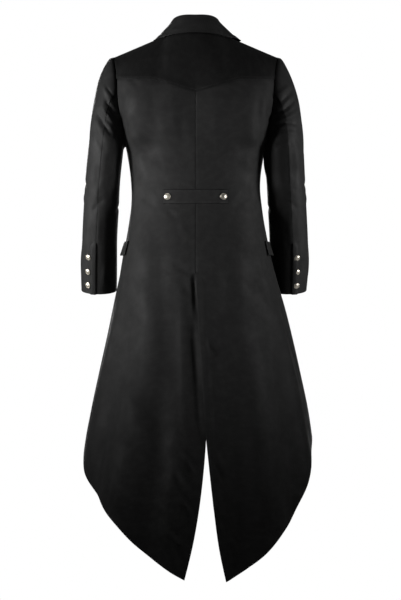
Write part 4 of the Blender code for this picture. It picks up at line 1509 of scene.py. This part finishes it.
@dataclass(frozen=True)
class Buttons:
    """Domed metal buttons on shanks, at the belt and the cuffs."""

    metal: OldSilver = OldSilver()
    turns: int = 40
    shank: tuple[tuple[float, float], ...] = ((0.0, 0.0), (0.30, 0.0), (0.30, 0.24), (0.82, 0.28))
    rim: tuple[tuple[float, float], ...] = (
        (0.95, 0.34), (1.0, 0.44), (0.98, 0.54), (0.92, 0.60), (0.85, 0.595))
    dome: tuple[tuple[float, float], ...] = (
        (0.81, 0.56), (0.77, 0.60), (0.70, 0.70), (0.58, 0.82), (0.42, 0.92), (0.22, 0.985), (0.0, 1.0))
    groove_width: float = 0.05
    groove_tarnish: float = 0.9
    rubbed_low: float = 0.15
    rubbed_rise: float = 0.75

    def model(self) -> bpy.types.Object:
        """One button of unit radius and unit height, spun from its profile.

        Returns:
            The button, standing on the origin.
        """
        bpy.ops.object.select_all(action="DESELECT")
        bpy.ops.mesh.primitive_plane_add(size=1.0)
        button = bpy.context.object
        bpy.ops.object.mode_set(mode="EDIT")
        bpy.ops.mesh.select_all(action="SELECT")
        bpy.ops.mesh.merge(type="CENTER")
        profile = self.shank + self.rim + self.dome
        for (near, low), (far, high) in zip(profile, profile[1:]):
            step = (far - near, 0.0, high - low)
            bpy.ops.mesh.extrude_vertices_move(TRANSFORM_OT_translate={"value": step})
        bpy.ops.mesh.select_all(action="SELECT")
        bpy.ops.mesh.spin(steps=self.turns, angle=2 * math.pi, center=(0, 0, 0), axis=(0, 0, 1))
        bpy.ops.mesh.select_all(action="SELECT")
        bpy.ops.mesh.remove_doubles(threshold=0.0005)
        bpy.ops.mesh.normals_make_consistent(inside=False)
        bpy.ops.object.mode_set(mode="OBJECT")
        apply_modifier(button, "SUBSURF", levels=1, render_levels=1)
        points = points_of(button.data)
        radius = np.hypot(points[:, 0], points[:, 1])
        groove = np.exp(-((radius - self.dome[0][0]) / self.groove_width) ** 2)
        raised = np.clip(points[:, 2] * self.rubbed_rise + self.rubbed_low, 0, 1)
        rubbed = raised * (1 - self.groove_tarnish * groove)
        button.data.attributes.new("rubbed", "FLOAT", "POINT").data.foreach_set("value", rubbed)
        bpy.ops.object.shade_smooth()
        return button

    def build(self, nodes: list[str]) -> None:
        """Set a button on the place of each button of the frame.

        Args:
            nodes: Names of the button nodes.
        """
        model = self.model()
        metal = self.metal.build()
        for node in nodes:
            points = points_of(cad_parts[node].data)
            middle = (points.max(axis=0) + points.min(axis=0)) / 2
            axis = np.linalg.svd(points - points.mean(axis=0), full_matrices=False)[2][2]
            axis = axis if axis[1] > 0 else -axis
            reach = (points - middle) @ axis
            radius = np.linalg.norm(points - middle - reach[:, None] * axis, axis=1).max()
            base = Vector(middle + axis * reach.min())
            turn = Vector((0.0, 0.0, 1.0)).rotation_difference(Vector(axis)).to_matrix().to_4x4()
            size = Matrix.Diagonal((radius, radius, reach.max() - reach.min(), 1.0))
            button = bpy.data.objects.new(f"silver_{node}", model.data.copy())
            button.data.transform(Matrix.Translation(base) @ turn @ size)
            bpy.context.scene.collection.objects.link(button)
            button.data.materials.append(metal)
            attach(button, ROOT)
            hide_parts(node)
            log.info("%s: radius %.1f mm", button.name, radius * 1000)
        bpy.data.objects.remove(model)


@dataclass(frozen=True)
class Lamp:
    """Soft box aimed at a point."""

    name: str
    place: tuple[float, float, float]
    aim: tuple[float, float, float]
    size: tuple[float, float]
    power: float
    spread: float = 180.0

    def build(self) -> None:
        """Hang the lamp."""
        light = bpy.data.lights.new(self.name, "AREA")
        light.shape = "RECTANGLE"
        light.size, light.size_y = self.size
        light.energy = self.power
        light.spread = math.radians(self.spread)
        lamp = bpy.data.objects.new(self.name, light)
        lamp.visible_camera = False
        lamp.location = self.place
        lamp.rotation_euler = (Vector(self.aim) - Vector(self.place)).to_track_quat("-Z", "Y").to_euler()
        bpy.context.scene.collection.objects.link(lamp)


@dataclass(frozen=True)
class Studio:
    """Pale floor, soft boxes and the camera behind the coat."""

    floor_height: float = -1.56
    floor_radius: float = 2.4
    floor_depth: float = 0.03
    floor_sides: int = 96
    floor_rim: float = 0.008
    view_middle: tuple[float, float] = (-0.01325, -0.6996)
    view_height: float = 1.59
    camera_distance: float = 30.0
    sensor: float = 36.0
    ambient: float = 0.035
    floor_glow: float = 0.70
    unseen_glow: float = 0.07
    lamps: tuple[Lamp, ...] = (
        Lamp("Left soft box", (2.95, 1.15, -0.50), (0.0, 0.0, -0.40), (0.9, 0.5), 9.4, 33.0),
        Lamp("Right soft box", (-2.95, 1.00, -0.50), (0.0, 0.0, -0.40), (0.9, 0.5), 4.6, 33.0),
        Lamp("Back soft box", (1.0, 3.4, -0.45), (0.0, 0.0, -0.42), (1.2, 0.6), 0.34, 32.0),
        Lamp("Top soft box", (0.0, 1.10, 2.30), (0.0, 0.0, -0.10), (1.0, 0.4), 1.2, 60.0),
        Lamp("Front soft box", (0.5, -3.1, 0.30), (0.0, 0.0, -0.50), (1.4, 1.0), 40.0, 90.0),
        Lamp("Front low soft box", (-0.6, -2.9, -1.20), (0.0, 0.0, -0.60), (1.2, 0.5), 5.0, 70.0),
    )

    def build(self) -> None:
        """Set up the floor, the world, the lamps and the camera."""
        self.lay_floor()
        self.set_world()
        for lamp in self.lamps:
            lamp.build()
        self.set_camera()
        bpy.context.scene.view_settings.view_transform = "Standard"

    def lay_floor(self) -> None:
        """Round pale floor with a soft rim."""
        bpy.ops.object.select_all(action="DESELECT")
        bpy.ops.mesh.primitive_cylinder_add(vertices=self.floor_sides, radius=self.floor_radius,
                                            depth=self.floor_depth,
                                            location=(0.0, 0.0, self.floor_height - self.floor_depth / 2))
        floor = bpy.context.object
        floor.name = "floor"
        bpy.ops.object.transform_apply(location=True, rotation=True, scale=True)
        apply_modifier(floor, "BEVEL", width=self.floor_rim, segments=3)
        finish = PlainFinish("Pale floor", (0.80, 0.80, 0.79, 1.0), roughness=0.8, unevenness=0.03,
                             scale=3.0).build()
        self.brighten(finish)
        floor.data.materials.append(finish)

    def brighten(self, finish: bpy.types.Material) -> None:
        """Let the floor look evenly lit, without lighting the coat much.

        Args:
            finish: Material of the floor.
        """
        nodes, links = finish.node_tree.nodes, finish.node_tree.links
        path = nodes.new("ShaderNodeLightPath")
        level = nodes.new("ShaderNodeMapRange")
        level.inputs["To Min"].default_value = self.unseen_glow
        level.inputs["To Max"].default_value = self.floor_glow
        links.new(path.outputs["Is Camera Ray"], level.inputs["Value"])
        links.new(level.outputs["Result"], nodes["Principled BSDF"].inputs["Emission Strength"])
        nodes["Principled BSDF"].inputs["Emission Color"].default_value = (1.0, 1.0, 0.99, 1.0)

    def set_world(self) -> None:
        """White behind the coat, softer as a light."""
        world = bpy.data.worlds.new("Studio")
        bpy.context.scene.world = world
        world.use_nodes = True
        nodes, links = world.node_tree.nodes, world.node_tree.links
        backdrop = nodes["Background"]
        backdrop.inputs["Color"].default_value = (1.0, 1.0, 1.0, 1.0)
        path = nodes.new("ShaderNodeLightPath")
        level = nodes.new("ShaderNodeMapRange")
        level.inputs["To Min"].default_value = self.ambient
        level.inputs["To Max"].default_value = 1.0
        links.new(path.outputs["Is Camera Ray"], level.inputs["Value"])
        links.new(level.outputs["Result"], backdrop.inputs["Strength"])

    def set_camera(self) -> None:
        """Camera straight behind the coat, far enough away for a flat view."""
        lens = bpy.data.cameras.new("Camera")
        lens.sensor_width = self.sensor
        lens.lens = self.sensor * self.camera_distance / self.view_height
        lens.clip_end = self.camera_distance * 3
        camera = bpy.data.objects.new("Camera", lens)
        camera.location = (self.view_middle[0], self.camera_distance, self.view_middle[1])
        camera.rotation_euler = (math.pi / 2, 0.0, math.pi)
        bpy.context.scene.collection.objects.link(camera)
        bpy.context.scene.camera = camera


SLEEVE_ROWS = ((0.00, 0.205, 0.000), (-0.10, 0.215, 0.000), (-0.30, 0.240, 0.002), (-0.46, 0.250, -0.021),
            (-0.67, 0.256, -0.094), (-0.72, 0.257, -0.105))


def sleeve_spine(side: Side) -> Spine:
    """Middle line of the sleeve on one side."""
    return Spine(tuple((height, x * side, y) for height, x, y in SLEEVE_ROWS))


def left_sleeve() -> Sleeve:
    """Sleeve on the coat's left.

    Returns:
        The sleeve with its own folds.
    """
    spine = sleeve_spine(Side.LEFT)
    return Sleeve(Side.LEFT, ClothShell("topsleeve_left", (0.22, 0.66), 0.1095, spine=spine),
                  ClothShell("undersleeve_left", (0.17, 0.57), 0.0669, spine=spine), {
        Facing.BACK: (
            Crease((0.2480, -0.128), (0.2140, -0.176), 0.0022, 0.0080, 0.002),
            Crease((0.2360, -0.136), (0.2080, -0.170), -0.0024, 0.0060, 0.002),
            Crease((0.2400, -0.165), (0.2030, -0.218), -0.0050, 0.0075, 0.003),
            Crease((0.2490, -0.182), (0.2120, -0.236), 0.0040, 0.0075, 0.003),
            Crease((0.2590, -0.202), (0.2170, -0.268), -0.0050, 0.0080, 0.004),
            Crease((0.2660, -0.216), (0.2300, -0.284), 0.0026, 0.0080, 0.004),
            Crease((0.2700, -0.246), (0.2380, -0.304), -0.0022, 0.0080, 0.003),
            Crease((0.2700, -0.170), (0.2680, -0.300), 0.0030, 0.0120, 0.003),
            Crease((0.2240, -0.300), (0.2300, -0.420), -0.0026, 0.0100, 0.003),
            Crease((0.2450, -0.380), (0.2680, -0.440), 0.0022, 0.0100, 0.003),
            Crease((0.2400, -0.430), (0.2740, -0.470), -0.0026, 0.0090, 0.003),
            Crease((0.2560, -0.470), (0.2600, -0.560), 0.0020, 0.0110, 0.002),
            Crease((0.2600, -0.549), (0.2790, -0.552), -0.0016, 0.0050, 0.001),
            Crease((0.2360, -0.600), (0.2440, -0.660), 0.0014, 0.0090, 0.002),
        ),
        Facing.LEFT: (
            Crease((0.040, -0.170), (0.030, -0.330), 0.0034, 0.0140, 0.004),
            Crease((-0.020, -0.150), (0.010, -0.300), -0.0034, 0.0130, 0.004),
            Crease((-0.030, -0.380), (0.030, -0.420), -0.0030, 0.0100, 0.004),
            Crease((-0.040, -0.410), (0.014, -0.455), 0.0016, 0.0110, 0.004),
            Crease((-0.060, -0.560), (-0.070, -0.640), 0.0020, 0.0120, 0.003),
        ),
        Facing.FRONT: (
            Crease((0.225, -0.400), (0.262, -0.430), -0.0046, 0.0080, 0.003),
            Crease((0.228, -0.430), (0.266, -0.455), 0.0034, 0.0080, 0.003),
            Crease((0.226, -0.460), (0.264, -0.485), -0.0040, 0.0080, 0.003),
            Crease((0.215, -0.180), (0.250, -0.240), -0.0036, 0.0090, 0.004),
        ),
        Facing.RIGHT: (
            Crease((0.030, -0.180), (0.010, -0.330), -0.0030, 0.0120, 0.004),
            Crease((-0.050, -0.440), (0.010, -0.470), -0.0028, 0.0090, 0.003),
        ),
    })


def right_sleeve() -> Sleeve:
    """Sleeve on the coat's right.

    Returns:
        The sleeve with its own folds.
    """
    spine = sleeve_spine(Side.RIGHT)
    return Sleeve(Side.RIGHT, ClothShell("topsleeve_right", (0.22, 0.66), 0.1132, spine=spine),
                  ClothShell("undersleeve_right", (0.17, 0.57), 0.0687, spine=spine), {
        Facing.BACK: (
            Crease((-0.2040, -0.166), (-0.2500, -0.128), 0.0022, 0.0080, 0.004),
            Crease((-0.2020, -0.190), (-0.2600, -0.140), -0.0030, 0.0070, 0.005),
            Crease((-0.1920, -0.216), (-0.2700, -0.162), -0.0050, 0.0075, 0.008),
            Crease((-0.2000, -0.232), (-0.2740, -0.196), 0.0040, 0.0075, 0.006),
            Crease((-0.1960, -0.250), (-0.2740, -0.236), -0.0048, 0.0080, -0.012),
            Crease((-0.2100, -0.276), (-0.2740, -0.262), 0.0030, 0.0080, -0.010),
            Crease((-0.2060, -0.296), (-0.2700, -0.290), -0.0026, 0.0080, -0.008),
            Crease((-0.2620, -0.280), (-0.2720, -0.400), 0.0028, 0.0120, -0.003),
            Crease((-0.2340, -0.300), (-0.2420, -0.400), -0.0026, 0.0110, 0.003),
            Crease((-0.2330, -0.400), (-0.2700, -0.430), 0.0022, 0.0100, -0.003),
            Crease((-0.2300, -0.430), (-0.2720, -0.462), -0.0026, 0.0090, -0.003),
            Crease((-0.2500, -0.480), (-0.2560, -0.560), 0.0020, 0.0110, 0.002),
            Crease((-0.2350, -0.548), (-0.2560, -0.552), -0.0014, 0.0050, 0.001),
            Crease((-0.2660, -0.590), (-0.2680, -0.660), 0.0014, 0.0090, 0.002),
        ),
        Facing.RIGHT: (
            Crease((0.035, -0.180), (0.025, -0.330), 0.0032, 0.0140, -0.004),
            Crease((-0.025, -0.160), (0.005, -0.300), -0.0032, 0.0130, -0.004),
            Crease((-0.035, -0.370), (0.025, -0.410), -0.0030, 0.0100, -0.004),
            Crease((-0.040, -0.405), (0.010, -0.445), 0.0016, 0.0110, -0.004),
            Crease((-0.060, -0.550), (-0.075, -0.640), 0.0020, 0.0120, -0.003),
        ),
        Facing.FRONT: (
            Crease((-0.222, -0.395), (-0.262, -0.428), -0.0044, 0.0080, -0.003),
            Crease((-0.226, -0.425), (-0.266, -0.452), 0.0034, 0.0080, -0.003),
            Crease((-0.224, -0.458), (-0.264, -0.480), -0.0040, 0.0080, -0.003),
            Crease((-0.213, -0.185), (-0.248, -0.240), -0.0034, 0.0090, -0.004),
        ),
        Facing.LEFT: (
            Crease((0.028, -0.185), (0.010, -0.300), -0.0024, 0.0120, -0.004),
            Crease((0.026, -0.262), (0.014, -0.375), 0.0072, 0.0200, -0.002),
            Crease((-0.050, -0.435), (0.010, -0.465), -0.0028, 0.0090, -0.003),
        ),
    # Darker copy of the cloth under the right arm: painted shade.
    }, under_cloth=CoatCloth("Coat cloth in painted shade under the right sleeve", colour=(0.0036, 0.0036, 0.0036, 1.0),
                             worn_colour=(0.0056, 0.0056, 0.0056, 1.0), specular=0.06, sheen=0.010))


def main() -> None:
    """Build the studio and the coat, and report each piece."""
    logging.basicConfig(level=logging.INFO, format="%(message)s")
    Studio().build()
    finishes = Finishes(
        cloth=CoatCloth("Coat cloth").build(),
        # Darker copies of the cloth: painted shade for the rims of deep seams, of pressed seams and of raised
        # edges.
        seam=CoatCloth("Coat cloth with painted seam shade", colour=(0.0008, 0.0008, 0.0008, 1.0),
                       worn_colour=(0.0012, 0.0012, 0.0012, 1.0), specular=0.02, sheen=0.0).build(),
        pressed_seam_shade=CoatCloth("Coat cloth with faint painted seam shade", colour=(0.0022, 0.0022, 0.0022, 1.0),
                               worn_colour=(0.0060, 0.0060, 0.0060, 1.0), specular=0.06, sheen=0.005).build(),
        thread=PlainFinish("Black thread", (0.010, 0.010, 0.010, 1.0), roughness=0.7).build())
    parts = (
        Back(left=ClothShell("back_left", (0.44, 1.36), 0.3908),
             right=ClothShell("back_right", (0.39, 1.36), 0.3692),
             yoke=ClothShell("back_yoke", (0.48, 0.19), 0.0674),
             belt=ClothShell("half_belt", (0.180, 0.040), 0.0067, rests_on=("back_left", "back_right"))),
        Fronts(left=ClothShell("front_left", (0.26, 1.11), 0.1643),
               right=ClothShell("front_right", (0.26, 1.07), 0.1631),
               lapels=(ClothShell("lapel_left", (0.13, 0.42), 0.0312),
                       ClothShell("lapel_right", (0.13, 0.42), 0.0312)),
               flaps=(ClothShell("pocket_flap_left", (0.125, 0.040), 0.0049),
                      ClothShell("pocket_flap_right", (0.125, 0.040), 0.0049))),
        Collar(ClothShell("collar", (0.40, 0.10), 0.0346, slot="collar_cloth")),
        left_sleeve(),
        right_sleeve(),
    )
    for part in parts:
        part.cut_out()
    edges = {shell.node: shell.edge for part in parts for shell in part.shells()}
    for part in parts:
        part.press()
        part.seam_up(edges)
        part.overlap(edges)
        part.dress(finishes)
        log.info("%s done", type(part).__name__)
    Buttons().build([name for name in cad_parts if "button" in name])


if __name__ == "__main__":
    main()
